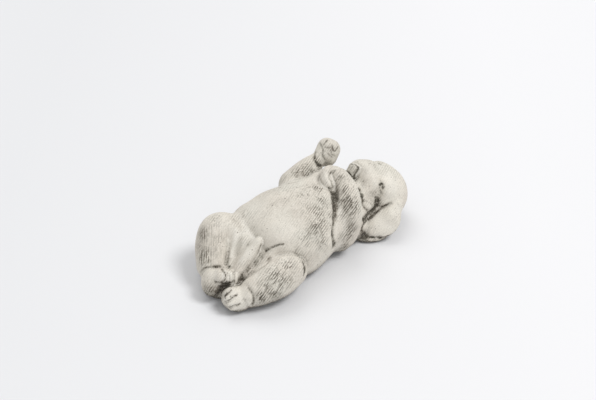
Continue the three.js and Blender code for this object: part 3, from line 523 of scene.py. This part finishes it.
# ---------------------------------------------------------------- the field and its surface
def field_of(groups):
    n = np.ceil((np.array(HIGH) - LOW) / CELL).astype(int) + 1
    ticks = [(LOW[i] + CELL * np.arange(n[i])).astype(np.float32) for i in range(3)]
    total = np.full(n, FAR, np.float32)

    def span(lo, hi):
        a = np.clip(np.floor((lo - LOW) / CELL).astype(int), 0, n - 1)
        return a, np.maximum(np.clip(np.ceil((hi - LOW) / CELL).astype(int) + 1, 1, n), a + 1)

    for g in groups:
        M, o = np.array(g.get("M", np.eye(3))), np.array(g.get("o", (0, 0, 0)), float)
        reach = REACH if g.get("op", "+") == "+" else 8.0
        boxes = []
        for f in g["forms"]:
            lo, hi = limits(f)
            corners = np.array([[x, y, z] for x in (lo[0], hi[0]) for y in (lo[1], hi[1]) for z in (lo[2], hi[2])]) @ M.T + o
            boxes.append(span(corners.min(0) - reach, corners.max(0) + reach))
        a0, b0 = np.min([b[0] for b in boxes], 0), np.max([b[1] for b in boxes], 0)
        own = np.full(b0 - a0, FAR, np.float32)
        for f, (a, b) in zip(g["forms"], boxes):
            X, Y, Z = np.meshgrid(*[ticks[i][a[i] : b[i]] - o[i] for i in range(3)], indexing="ij", sparse=True)
            d = value(f, [M[0, i] * X + M[1, i] * Y + M[2, i] * Z for i in range(3)]).astype(np.float32)
            part = tuple(slice(a[i] - a0[i], b[i] - a0[i]) for i in range(3))
            own[part] = join(own[part], d, f["k"]) if f["op"] == "+" else cut(own[part], d, f["k"])
        part = tuple(slice(a0[i], b0[i]) for i in range(3))
        total[part] = (join if g.get("op", "+") == "+" else cut)(total[part], own, g.get("k", 8))
    floor = np.broadcast_to(-ticks[2][None, None, :], total.shape)
    plain = -join(-total, -floor, BASE_EDGE).astype(np.float32)
    for name, width, depth, line_wash_shade_light, points in STROKES:
        w, path = max(width, 0.8 * CELL), line(points)
        a, b = span(path[:, :3].min(0) - 2.7 * w, path[:, :3].max(0) + 2.7 * w)
        X, Y, Z = np.meshgrid(*[ticks[i][a[i] : b[i]] for i in range(3)], indexing="ij", sparse=True)
        total[tuple(slice(a[i], b[i]) for i in range(3))] += (depth * np.exp(-((value({"path": path}, [X, Y, Z]) / w) ** 2))).astype(np.float32)
    return -join(-total, -floor, BASE_EDGE).astype(np.float32), plain


def surface_of(F):
    """Points in the cells that the surface crosses, and the quads between them, facing out."""
    S = F < 0
    nx, ny, nz = F.shape
    filled = np.zeros((nx - 1, ny - 1, nz - 1), np.uint8)
    corner = {}
    for i in (0, 1):
        for j in (0, 1):
            for k in (0, 1):
                filled += S[i : nx - 1 + i, j : ny - 1 + j, k : nz - 1 + k]
    I, J, K = np.nonzero((filled > 0) & (filled < 8))
    for i in (0, 1):
        for j in (0, 1):
            for k in (0, 1):
                corner[i, j, k] = F[I + i, J + j, K + k].astype(float)
    number = -np.ones(filled.shape, np.int64)
    number[I, J, K] = np.arange(len(I))
    place, found = np.zeros((len(I), 3)), np.zeros(len(I))
    for a in corner:
        for axis in range(3):
            if a[axis]:
                continue
            b = tuple(1 if m == axis else a[m] for m in range(3))
            va, vb = corner[a], corner[b]
            hit = (va < 0) != (vb < 0)
            t = np.where(hit, va / (va - vb + 1e-20), 0)
            for m in range(3):
                place[:, m] += np.where(hit, a[m] + t * (b[m] - a[m]), 0)
            found += hit
    P = (np.stack([I, J, K], 1) + place / found[:, None]) * CELL + np.array(LOW)
    quads = []
    for axis in range(3):
        others = [m for m in range(3) if m != axis]
        at_a = [slice(1, -1)] * 3
        at_b = [slice(1, -1)] * 3
        at_a[axis], at_b[axis] = slice(None, -1), slice(1, None)
        idx = np.array(np.nonzero(S[tuple(at_a)] != S[tuple(at_b)]))
        for m in others:
            idx[m] += 1
        u, v = [(1, 2), (2, 0), (0, 1)][axis]
        ring = []
        for du, dv in ((-1, -1), (0, -1), (0, 0), (-1, 0)):
            c = idx.copy()
            c[u] += du
            c[v] += dv
            ring.append(number[c[0], c[1], c[2]])
        q = np.stack(ring, 1)
        out = ~S[idx[0], idx[1], idx[2]]
        q[out] = q[out][:, ::-1]
        quads.append(q)
    Q = np.vstack(quads)
    return P, Q[(Q >= 0).all(1)]


def look_up(F, P):
    """The field at points, and its slope there."""
    q = np.clip((P - LOW) / CELL, 0, np.array(F.shape) - 1.001)
    i = np.floor(q).astype(int)
    x, y, z = (q - i).T
    c = {(a, b, d): F[i[:, 0] + a, i[:, 1] + b, i[:, 2] + d].astype(float) for a in (0, 1) for b in (0, 1) for d in (0, 1)}
    wx, wy, wz = (1 - x, x), (1 - y, y), (1 - z, z)
    v = sum(c[k] * wx[k[0]] * wy[k[1]] * wz[k[2]] for k in c)
    gx = sum(c[k] * (2 * k[0] - 1) * wy[k[1]] * wz[k[2]] for k in c)
    gy = sum(c[k] * (2 * k[1] - 1) * wx[k[0]] * wz[k[2]] for k in c)
    gz = sum(c[k] * (2 * k[2] - 1) * wx[k[0]] * wy[k[1]] for k in c)
    return v, np.stack([gx, gy, gz], 1) / CELL


def noise(P, size, seed):
    """Smooth noise from 0 to 1 with features of a size in mm, the same each run."""
    q = P / size + seed * 17.31
    i = np.floor(q).astype(np.int64)
    f = q - i
    f = f * f * (3 - 2 * f)
    total = 0
    for a in (0, 1):
        for b in (0, 1):
            for c in (0, 1):
                h = (i[:, 0] + a) * 374761393 + (i[:, 1] + b) * 668265263 + (i[:, 2] + c) * 2147483647 + seed * 974711
                h = (h ^ (h >> 13)) * 1274126177
                h = ((h ^ (h >> 16)) & 0xFFFF) / 65535.0
                w = (f[:, 0] if a else 1 - f[:, 0]) * (f[:, 1] if b else 1 - f[:, 1]) * (f[:, 2] if c else 1 - f[:, 2])
                total = total + h * w
    return total


def strokes(P, along, width, length, seed):
    """Noise drawn out along a direction: hair-like strokes, mean 0 and spread 1."""
    steps = np.linspace(-length / 2, length / 2, 9)
    s = sum(noise(P + along * t, width, seed) for t in steps) / len(steps)
    return (s - s.mean()) / s.std()


F, plain = field_of(model())
P, Q = surface_of(F)
_, slope = look_up(F, P)
N = slope / (np.linalg.norm(slope, axis=1)[:, None] + 1e-9)

# How deep in a recess each point is, near and far: the field a little way out of the surface falls short of that distance there.
# Darkness along the cut lines: wash and painted shade, and a painted highlight where it is negative.
line_wash_shade_light = np.zeros(len(P))
height, uncut = look_up(plain, P)
uncut = uncut / (np.linalg.norm(uncut, axis=1)[:, None] + 1e-9)
flush = P - height[:, None] * uncut  # each point drawn back to the surface that the grooves were cut in
for name, width, depth, dark, points in STROKES:
    w, path = 0.8 * width + 0.35, line(points)
    close = np.nonzero(((flush > path[:, :3].min(0) - 3 * w) & (flush < path[:, :3].max(0) + 3 * w)).all(1))[0]
    d = value({"path": path}, flush[close].T)
    line_wash_shade_light[close] = np.where(dark > 0, np.maximum(line_wash_shade_light[close], dark * np.exp(-((d / w) ** 2))), line_wash_shade_light[close] + dark * np.exp(-((d / w) ** 2)))
near = 1 - look_up(F, P + N * 3.0)[0] / 3.0
mid = 1 - look_up(F, P + N * 8.0)[0] / 8.0
far = 1 - look_up(F, P + N * 18.0)[0] / 18.0
near, mid, far = [np.clip(v, 0, 1.5) for v in (near, mid, far)]
worn_and_highlit = np.clip(1 + look_up(F, P - N * 4.5)[0] / 4.5, 0, 1)  # narrow ridges, where the wash is rubbed off and a highlight is painted

# Carved coat: short strokes that lean one way, with a second set crossing them here and there.
lean = np.array(COAT_LEAN) / np.linalg.norm(COAT_LEAN)
side = np.array(COAT_CROSS) / np.linalg.norm(COAT_CROSS)
lean = lean[None] + 0.5 * (noise(P, 45, 3)[:, None] - 0.5) * side[None]
lean = lean - (lean * N).sum(1)[:, None] * N
lean /= np.linalg.norm(lean, axis=1)[:, None] + 1e-9
cross = side[None] - (side[None] * N).sum(1)[:, None] * N
cross /= np.linalg.norm(cross, axis=1)[:, None] + 1e-9
hair = strokes(P, lean, 1.9, 11, 5)
hair2 = strokes(P, cross, 1.9, 8, 9)
coat = np.where(noise(P, 26, 11) > 0.62, hair2, hair)

patch = 0.12 + 0.24 * np.clip(noise(P, 30, 21) * 1.6 - 0.5, 0, 1)
for x, y, z, r, s in COAT_PATCHES:
    d2 = ((P - np.array((x, y, z))) ** 2).sum(1) / r**2
    patch = np.maximum(patch, s * np.exp(-d2 * 1.2))
for x, y, z, r, s in SMOOTH_PATCHES:
    d2 = ((P - np.array((x, y, z))) ** 2).sum(1) / r**2
    patch = patch * (1 - s * np.exp(-d2 * 1.2))

# Dark spots of painted shade, partly wash, and light spots of painted light where the strength is negative.
shade_and_wash_spots, rubbed = np.zeros(len(P)), np.zeros(len(P))
for x, y, z, r, s in SHADE_AND_LIGHT_SPOTS:
    d2 = ((flush - np.array((x, y, z))) ** 2).sum(1) / r**2
    if s > 0:
        shade_and_wash_spots = np.maximum(shade_and_wash_spots, s * np.exp(-d2 * 1.2))
    else:
        rubbed = np.maximum(rubbed, -s * np.exp(-d2 * 1.2))

base = P[:, 2] < 0.6  # the flat underside keeps its plane
relief = -0.08 * np.clip(-coat, 0, 2) * patch
relief += 0.22 * (noise(P, 7, 31) - 0.5) + 0.10 * (noise(P, 3, 37) - 0.5)
pits = noise(P, 3.2, 41)
pit = np.clip((pits - 0.86) * 12, 0, 1) * (noise(P, 14, 43) > 0.45)
relief -= 0.35 * pit
P = P + N * (relief * np.where(base, 0.0, 1.0))[:, None]
P[:, 2] = np.maximum(P[:, 2], 0.0)

# Dark wash and painted shade: the wash held in the recesses and in the strokes of the coat, and painted shade in the
# deeper hollows, low down, under overhangs and along the floor; the wash is rubbed off the high places, which get a
# painted highlight.
recess = np.clip(near * 1.15 - 0.10, 0, 1) ** 1.3 * 0.75 + np.clip(mid * 1.1 - 0.22, 0, 1) * 0.50 + np.clip(far - 0.42, 0, 1) * 0.35
recess *= 0.75 + 0.5 * noise(P, 5, 51)
# Painted shade low down: darker on the sides and undersides close to the floor.
low = np.clip(1 - P[:, 2] / 16, 0, 1) * np.clip(0.5 - N[:, 2], 0, 1)
wash_and_shade = recess + 0.35 * low + 0.15 * patch + 0.10 * patch * np.clip(-coat, 0, 1.6) + 0.10 * (noise(P, 22, 61) - 0.45)
# Painted light: the light spots lose their wash.
wash_and_shade = wash_and_shade * (1 - np.clip(rubbed, 0, 1)) - 0.04 * rubbed
# Dark cut lines (wash and painted shade) and dark spots of painted shade, partly wash.
wash_and_shade += line_wash_shade_light * np.clip(0.45 + 1.0 * noise(P, 3.5, 55), 0, 1.1) + shade_and_wash_spots * (0.6 + 0.8 * noise(P, 6, 57))
# Painted contact shadow: a dark band where the surface meets the floor; the air holes hold a little wash.
wash_and_shade += 1.7 * np.clip(1 - P[:, 2] / 3.6, 0, 1) * np.clip(0.9 - N[:, 2], 0, 1) + 0.35 * pit
# Painted shade on surfaces that face down, near the floor.
wash_and_shade += 1.1 * np.clip(-1.7 * N[:, 2] - 0.05, 0, 1) * np.clip(1.25 - P[:, 2] / 28, 0, 1)
wash_and_shade = np.clip(wash_and_shade, 0, 1.4)
worn_and_highlit = worn_and_highlit * (1 - np.clip(1.5 * shade_and_wash_spots, 0, 1))

# Row frame: the middle of the box's underside is the origin. The fine mesh keeps inside the box of the solid.
lo, hi = P.min(0), P.max(0)
middle = np.array([(lo[0] + hi[0]) / 2, (lo[1] + hi[1]) / 2, 0.0])
size = np.array([cad_high[i] - cad_low[i] for i in range(3)]) * 1000
fit = np.minimum(1.0, (size - 0.02) / (hi - lo))
metres = (P - middle) * fit / 1000.0

mesh = bpy.data.meshes.new("puppy")
tris = np.vstack([Q[:, [0, 1, 2]], Q[:, [0, 2, 3]]])
mesh.from_pydata([], [], [])
mesh.vertices.add(len(metres))
mesh.vertices.foreach_set("co", metres.astype(np.float32).ravel())
mesh.loops.add(len(Q) * 4)
mesh.loops.foreach_set("vertex_index", Q.astype(np.int32).ravel())
mesh.polygons.add(len(Q))
mesh.polygons.foreach_set("loop_start", np.arange(0, len(Q) * 4, 4, dtype=np.int32))
mesh.polygons.foreach_set("use_smooth", np.ones(len(Q), bool))
mesh.update(calc_edges=True)
mesh.validate()
upright = np.zeros(len(P))
for x, y, z, r, s in UPRIGHT_COAT:
    upright = np.maximum(upright, s * np.exp(-((P - np.array((x, y, z))) ** 2).sum(1) / r**2))
# The rows of cuts fade where the surface turns square to them, so that they don't open out into rings.
fade_lean, fade_upright = [
    np.clip(1.7 * (1 - (N @ unit(np.cross((-0.584, -0.545, 0.602), along))) ** 2) - 0.15, 0.1, 1)
    for along in (COAT_LEAN, COAT_UPRIGHT)
]
upright = np.clip(upright, 0, 1)
patch = patch * (fade_lean * (1 - upright) + fade_upright * upright)
for name, values in (("wash_and_shade", wash_and_shade), ("coat", patch), ("upright", np.clip(upright, 0, 1)), ("worn_and_highlit", worn_and_highlit), ("rub", np.clip(rubbed, 0, 1))):
    mesh.attributes.new(name, "FLOAT", "POINT").data.foreach_set("value", values.astype(np.float32))
puppy = bpy.data.objects.new("puppy_cast", mesh)
bpy.context.scene.collection.objects.link(puppy)
print("puppy", len(mesh.vertices), "points", len(Q) * 2, "triangles")

# ---------------------------------------------------------------- cast stone
stone = bpy.data.materials.new("cast_stone")
stone.use_nodes = True
nodes, links = stone.node_tree.nodes, stone.node_tree.links
nodes.clear()


def add(kind, **values):
    n = nodes.new(kind)
    for k, v in values.items():
        if k in ("attribute_name", "data_type", "blend_type", "operation", "feature", "noise_dimensions"):
            setattr(n, k, v)
        else:
            n.inputs[k.replace("_", " ")].default_value = v
    return n


def mix(factor, a, b, blend="MIX"):
    m = nodes.new("ShaderNodeMix")
    m.data_type = "RGBA"
    m.blend_type = blend
    for socket, v in ((m.inputs[0], factor), (m.inputs[6], a), (m.inputs[7], b)):
        if isinstance(v, bpy.types.NodeSocket):
            links.new(v, socket)
        else:
            socket.default_value = v
    return m.outputs[2]


def ramp(source, low, high, low_out=0.0, high_out=1.0):
    m = nodes.new("ShaderNodeMapRange")
    links.new(source, m.inputs[0])
    for i, v in enumerate((low, high, low_out, high_out)):
        m.inputs[i + 1].default_value = v
    return m.outputs[0]


def maths(operation, a, b):
    m = nodes.new("ShaderNodeMath")
    m.operation = operation
    for socket, v in zip(m.inputs, (a, b)):
        if isinstance(v, bpy.types.NodeSocket):
            links.new(v, socket)
        else:
            socket.default_value = v
    return m.outputs[0]


where = nodes.new("ShaderNodeTexCoord").outputs["Object"]


def grain(scale, detail=3.0, rough=0.55):
    n = nodes.new("ShaderNodeTexNoise")
    n.inputs["Scale"].default_value = scale
    n.inputs["Detail"].default_value = detail
    n.inputs["Roughness"].default_value = rough
    links.new(where, n.inputs["Vector"])
    return n.outputs["Fac"]


wash_and_shade_at = add("ShaderNodeAttribute", attribute_name="wash_and_shade").outputs["Fac"]
coat_at = add("ShaderNodeAttribute", attribute_name="coat").outputs["Fac"]
upright_at = add("ShaderNodeAttribute", attribute_name="upright").outputs["Fac"]
worn_and_highlit_at = add("ShaderNodeAttribute", attribute_name="worn_and_highlit").outputs["Fac"]
rub_at = add("ShaderNodeAttribute", attribute_name="rub").outputs["Fac"]


def dot_with(vector, direction):
    n = nodes.new("ShaderNodeVectorMath")
    n.operation = "DOT_PRODUCT"
    links.new(vector, n.inputs[0])
    n.inputs[1].default_value = direction
    return n.outputs["Value"]


def hatch(along, scale, stretch, wobble, row_gap):
    """Short strokes along a direction: 1 in a stroke and 0 between strokes."""
    A, B, C = axes(along, (0.3, -0.5, 0.8)).T
    jitter = nodes.new("ShaderNodeTexNoise")
    jitter.inputs["Scale"].default_value = 45
    jitter.inputs["Detail"].default_value = 1.0
    links.new(where, jitter.inputs["Vector"])
    bent = nodes.new("ShaderNodeVectorMath")
    bent.operation = "MULTIPLY_ADD"
    links.new(jitter.outputs["Color"], bent.inputs[0])
    bent.inputs[1].default_value = (wobble, wobble, wobble)
    links.new(where, bent.inputs[2])
    drawn = nodes.new("ShaderNodeCombineXYZ")
    for socket, direction in zip(drawn.inputs, (A / stretch, B, C)):
        links.new(dot_with(bent.outputs[0], tuple(direction)), socket)
    n = nodes.new("ShaderNodeTexNoise")
    n.inputs["Scale"].default_value = scale
    n.inputs["Detail"].default_value = 1.5
    n.inputs["Roughness"].default_value = 0.5
    links.new(drawn.outputs[0], n.inputs["Vector"])
    loose = ramp(n.outputs["Fac"], 0.52, 0.42)
    # Rows of cuts side by side, each row broken along its length.
    row = nodes.new("ShaderNodeTexWave")
    row.inputs["Scale"].default_value = 1.0
    row.inputs["Distortion"].default_value = 0.0
    rows_at = nodes.new("ShaderNodeCombineXYZ")
    cut = np.cross((-0.584, -0.545, 0.602), A)
    cut = cut / np.linalg.norm(cut)
    links.new(maths("MULTIPLY", dot_with(bent.outputs[0], tuple(cut)), 2 * math.pi / (20 * row_gap)), rows_at.inputs[0])
    links.new(rows_at.outputs[0], row.inputs["Vector"])
    rows = ramp(row.outputs["Fac"], 0.46, 0.14)
    broken = nodes.new("ShaderNodeTexNoise")
    broken.inputs["Scale"].default_value = 260
    broken.inputs["Detail"].default_value = 1.0
    shifted = nodes.new("ShaderNodeCombineXYZ")
    for socket, direction in zip(shifted.inputs, (A / 3.4, B, C)):
        links.new(dot_with(where, tuple(direction)), socket)
    links.new(shifted.outputs[0], broken.inputs["Vector"])
    rows = maths("MULTIPLY", rows, ramp(broken.outputs["Fac"], 0.40, 0.50))
    return maths("MAXIMUM", maths("MULTIPLY", loose, 0.5), rows)


leaning = hatch(COAT_LEAN, 620, 5.0, 0.0016, 0.0030)
standing = hatch(COAT_UPRIGHT, 560, 6.0, 0.0016, 0.0032)
stroke_at = nodes.new("ShaderNodeMix")
links.new(upright_at, stroke_at.inputs[0])
links.new(leaning, stroke_at.inputs[2])
links.new(standing, stroke_at.inputs[3])
strokes_at = stroke_at.outputs[0]

warm, cool = (0.796, 0.749, 0.663, 1), (0.764, 0.740, 0.660, 1)
body = mix(ramp(grain(38, 2), 0.40, 0.60), warm, cool)
body = mix(ramp(grain(19, 4), 0.42, 0.62, 0.0, 0.48), body, (0.635, 0.560, 0.490, 1))
body = mix(ramp(grain(95, 3, 0.6), 0.50, 0.70, 0.0, 0.28), body, (0.58, 0.54, 0.475, 1))
body = mix(ramp(grain(380, 3, 0.6), 0.50, 0.32, 0.0, 0.40), body, (0.90, 0.87, 0.80, 1))
# Painted highlight on the narrow ridges, where the wash is also rubbed off.
body = mix(ramp(worn_and_highlit_at, 0.05, 0.45, 0.0, 0.75), body, (0.90, 0.87, 0.80, 1))
# Painted light: lighter colour on the light spots.
body = mix(ramp(rub_at, 0.05, 0.85, 0.0, 0.72), body, (0.84, 0.81, 0.735, 1))
body = mix(ramp(grain(900, 3, 0.6), 0.56, 0.38, 0.0, 0.36), body, (0.46, 0.43, 0.375, 1))
# Wash and painted shade: flecks where they lie in hollows, and lines where the wash lies in the strokes of the coat.
flecks = ramp(grain(430, 4, 0.7), 0.36, 0.62, 0.45, 1.45)
lines = maths("MULTIPLY", maths("MULTIPLY", strokes_at, coat_at), ramp(grain(75, 2), 0.34, 0.62, 0.60, 1.15))
specks = maths("MULTIPLY", ramp(grain(620, 2, 0.5), 0.36, 0.28), ramp(grain(70, 2), 0.42, 0.62, 0.10, 0.75))
held = maths("ADD", maths("MULTIPLY", wash_and_shade_at, flecks), maths("MULTIPLY", lines, 1.4))
held = maths("ADD", held, maths("MULTIPLY", specks, maths("ADD", maths("MULTIPLY", coat_at, 1.1), 0.75)))
held = maths("MULTIPLY", held, ramp(worn_and_highlit_at, 0.05, 0.5, 1.0, 0.45))
dark = mix(ramp(grain(60, 2), 0.35, 0.65), (0.120, 0.100, 0.076, 1), (0.135, 0.126, 0.098, 1))
body = mix(ramp(held, 0.0, 1.0, 0.0, 0.93), body, dark)
# Nearly black where the wash and painted shade are deepest, as along the floor contact.
body = mix(ramp(held, 0.95, 1.7, 0.0, 0.85), body, (0.040, 0.034, 0.026, 1))
# Air holes.
cells = nodes.new("ShaderNodeTexVoronoi")
cells.inputs["Scale"].default_value = 150
links.new(where, cells.inputs["Vector"])
hole = maths("MULTIPLY", ramp(cells.outputs["Distance"], 0.09, 0.17, 1.0, 0.0), ramp(grain(90, 1), 0.58, 0.62))
body = mix(ramp(hole, 0.0, 1.0, 0.0, 0.75), body, (0.13, 0.11, 0.09, 1))

shader = nodes.new("ShaderNodeBsdfPrincipled")
shader.inputs["Roughness"].default_value = 0.88
shader.inputs["Specular IOR Level"].default_value = 0.25
links.new(body, shader.inputs["Base Color"])
height = maths("ADD", maths("MULTIPLY", grain(650, 4, 0.6), 0.9), maths("MULTIPLY", grain(1700, 2, 0.5), 0.35))
height = maths("SUBTRACT", height, maths("MULTIPLY", hole, 1.2))
height = maths("SUBTRACT", height, maths("MULTIPLY", lines, 1.1))
bump = nodes.new("ShaderNodeBump")
bump.inputs["Strength"].default_value = 0.35
bump.inputs["Distance"].default_value = 0.0006
links.new(height, bump.inputs["Height"])
links.new(bump.outputs[0], shader.inputs["Normal"])
out = nodes.new("ShaderNodeOutputMaterial")
links.new(shader.outputs[0], out.inputs[0])
mesh.materials.append(stone)

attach(puppy, "root")
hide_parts("dog_statue")

# ---------------------------------------------------------------- floor, light and camera
floor_mesh = bpy.data.meshes.new("floor")
floor_mesh.from_pydata([(-12, -12, 0), (12, -12, 0), (12, 12, 0), (-12, 12, 0)], [], [(0, 1, 2, 3)])
floor = bpy.data.objects.new("floor", floor_mesh)
floor.location = (0, 0, -0.0002)
bpy.context.scene.collection.objects.link(floor)
paper = bpy.data.materials.new("paper")
paper.use_nodes = True
tree = paper.node_tree
# Painted light falloff: the floor is darker towards the left of the view.
place_on = tree.nodes.new("ShaderNodeTexCoord").outputs["Object"]
across = tree.nodes.new("ShaderNodeVectorMath")
across.operation = "DOT_PRODUCT"
tree.links.new(place_on, across.inputs[0])
across.inputs[1].default_value = (0.682, -0.731, 0.0)
falloff_across = tree.nodes.new("ShaderNodeMapRange")
tree.links.new(across.outputs["Value"], falloff_across.inputs[0])
for i, v in enumerate((-0.45, 0.35, 0.0, 1.0)):
    falloff_across.inputs[i + 1].default_value = v
painted_falloff = tree.nodes.new("ShaderNodeMix")
painted_falloff.data_type = "RGBA"
tree.links.new(falloff_across.outputs[0], painted_falloff.inputs[0])
painted_falloff.inputs[6].default_value = (0.748, 0.753, 0.767, 1)
painted_falloff.inputs[7].default_value = (0.838, 0.838, 0.852, 1)
tree.links.new(painted_falloff.outputs[2], tree.nodes["Principled BSDF"].inputs["Base Color"])
paper.node_tree.nodes["Principled BSDF"].inputs["Roughness"].default_value = 1.0
paper.node_tree.nodes["Principled BSDF"].inputs["Specular IOR Level"].default_value = 0.0
floor_mesh.materials.append(paper)

world = bpy.data.worlds.new("studio")
bpy.context.scene.world = world
world.use_nodes = True
world.node_tree.nodes["Background"].inputs["Color"].default_value = (1.0, 1.0, 1.0, 1)
world.node_tree.nodes["Background"].inputs["Strength"].default_value = WORLD_LIGHT


def lamp(name, direction, strength, spread, colour=(1, 1, 1)):
    data = bpy.data.lights.new(name, "SUN")
    data.energy = strength
    data.angle = math.radians(spread)
    data.color = colour
    o = bpy.data.objects.new(name, data)
    o.rotation_euler = Vector(direction).to_track_quat("Z", "Y").to_euler()
    bpy.context.scene.collection.objects.link(o)


for args in LAMPS:
    lamp(*args)

# The camera looks from the rump end, from above the left side.
AROUND, UP, DISTANCE, LENS = 47.0, 37.0, 1390.0, 60.0
TARGET = np.array((44.0, 26.0, 66.0))
t, e = math.radians(AROUND), math.radians(UP)
back = np.array((-math.sin(t) * math.cos(e), -math.cos(t) * math.cos(e), math.sin(e)))
camera = bpy.data.objects.new("camera", bpy.data.cameras.new("camera"))
camera.data.lens = LENS
camera.data.sensor_width = 36.0
camera.data.clip_start, camera.data.clip_end = 0.05, 60.0
camera.location = (TARGET - middle + DISTANCE * back) / 1000.0
camera.rotation_mode = "QUATERNION"
camera.rotation_quaternion = (-Vector(back)).to_track_quat("-Z", "Y")
bpy.context.scene.collection.objects.link(camera)
bpy.context.scene.camera = camera

scene = bpy.context.scene
scene.view_settings.view_transform = "Standard"
scene.view_settings.look = "None"
scene.view_settings.exposure = 0.0
scene.view_settings.gamma = 1.0
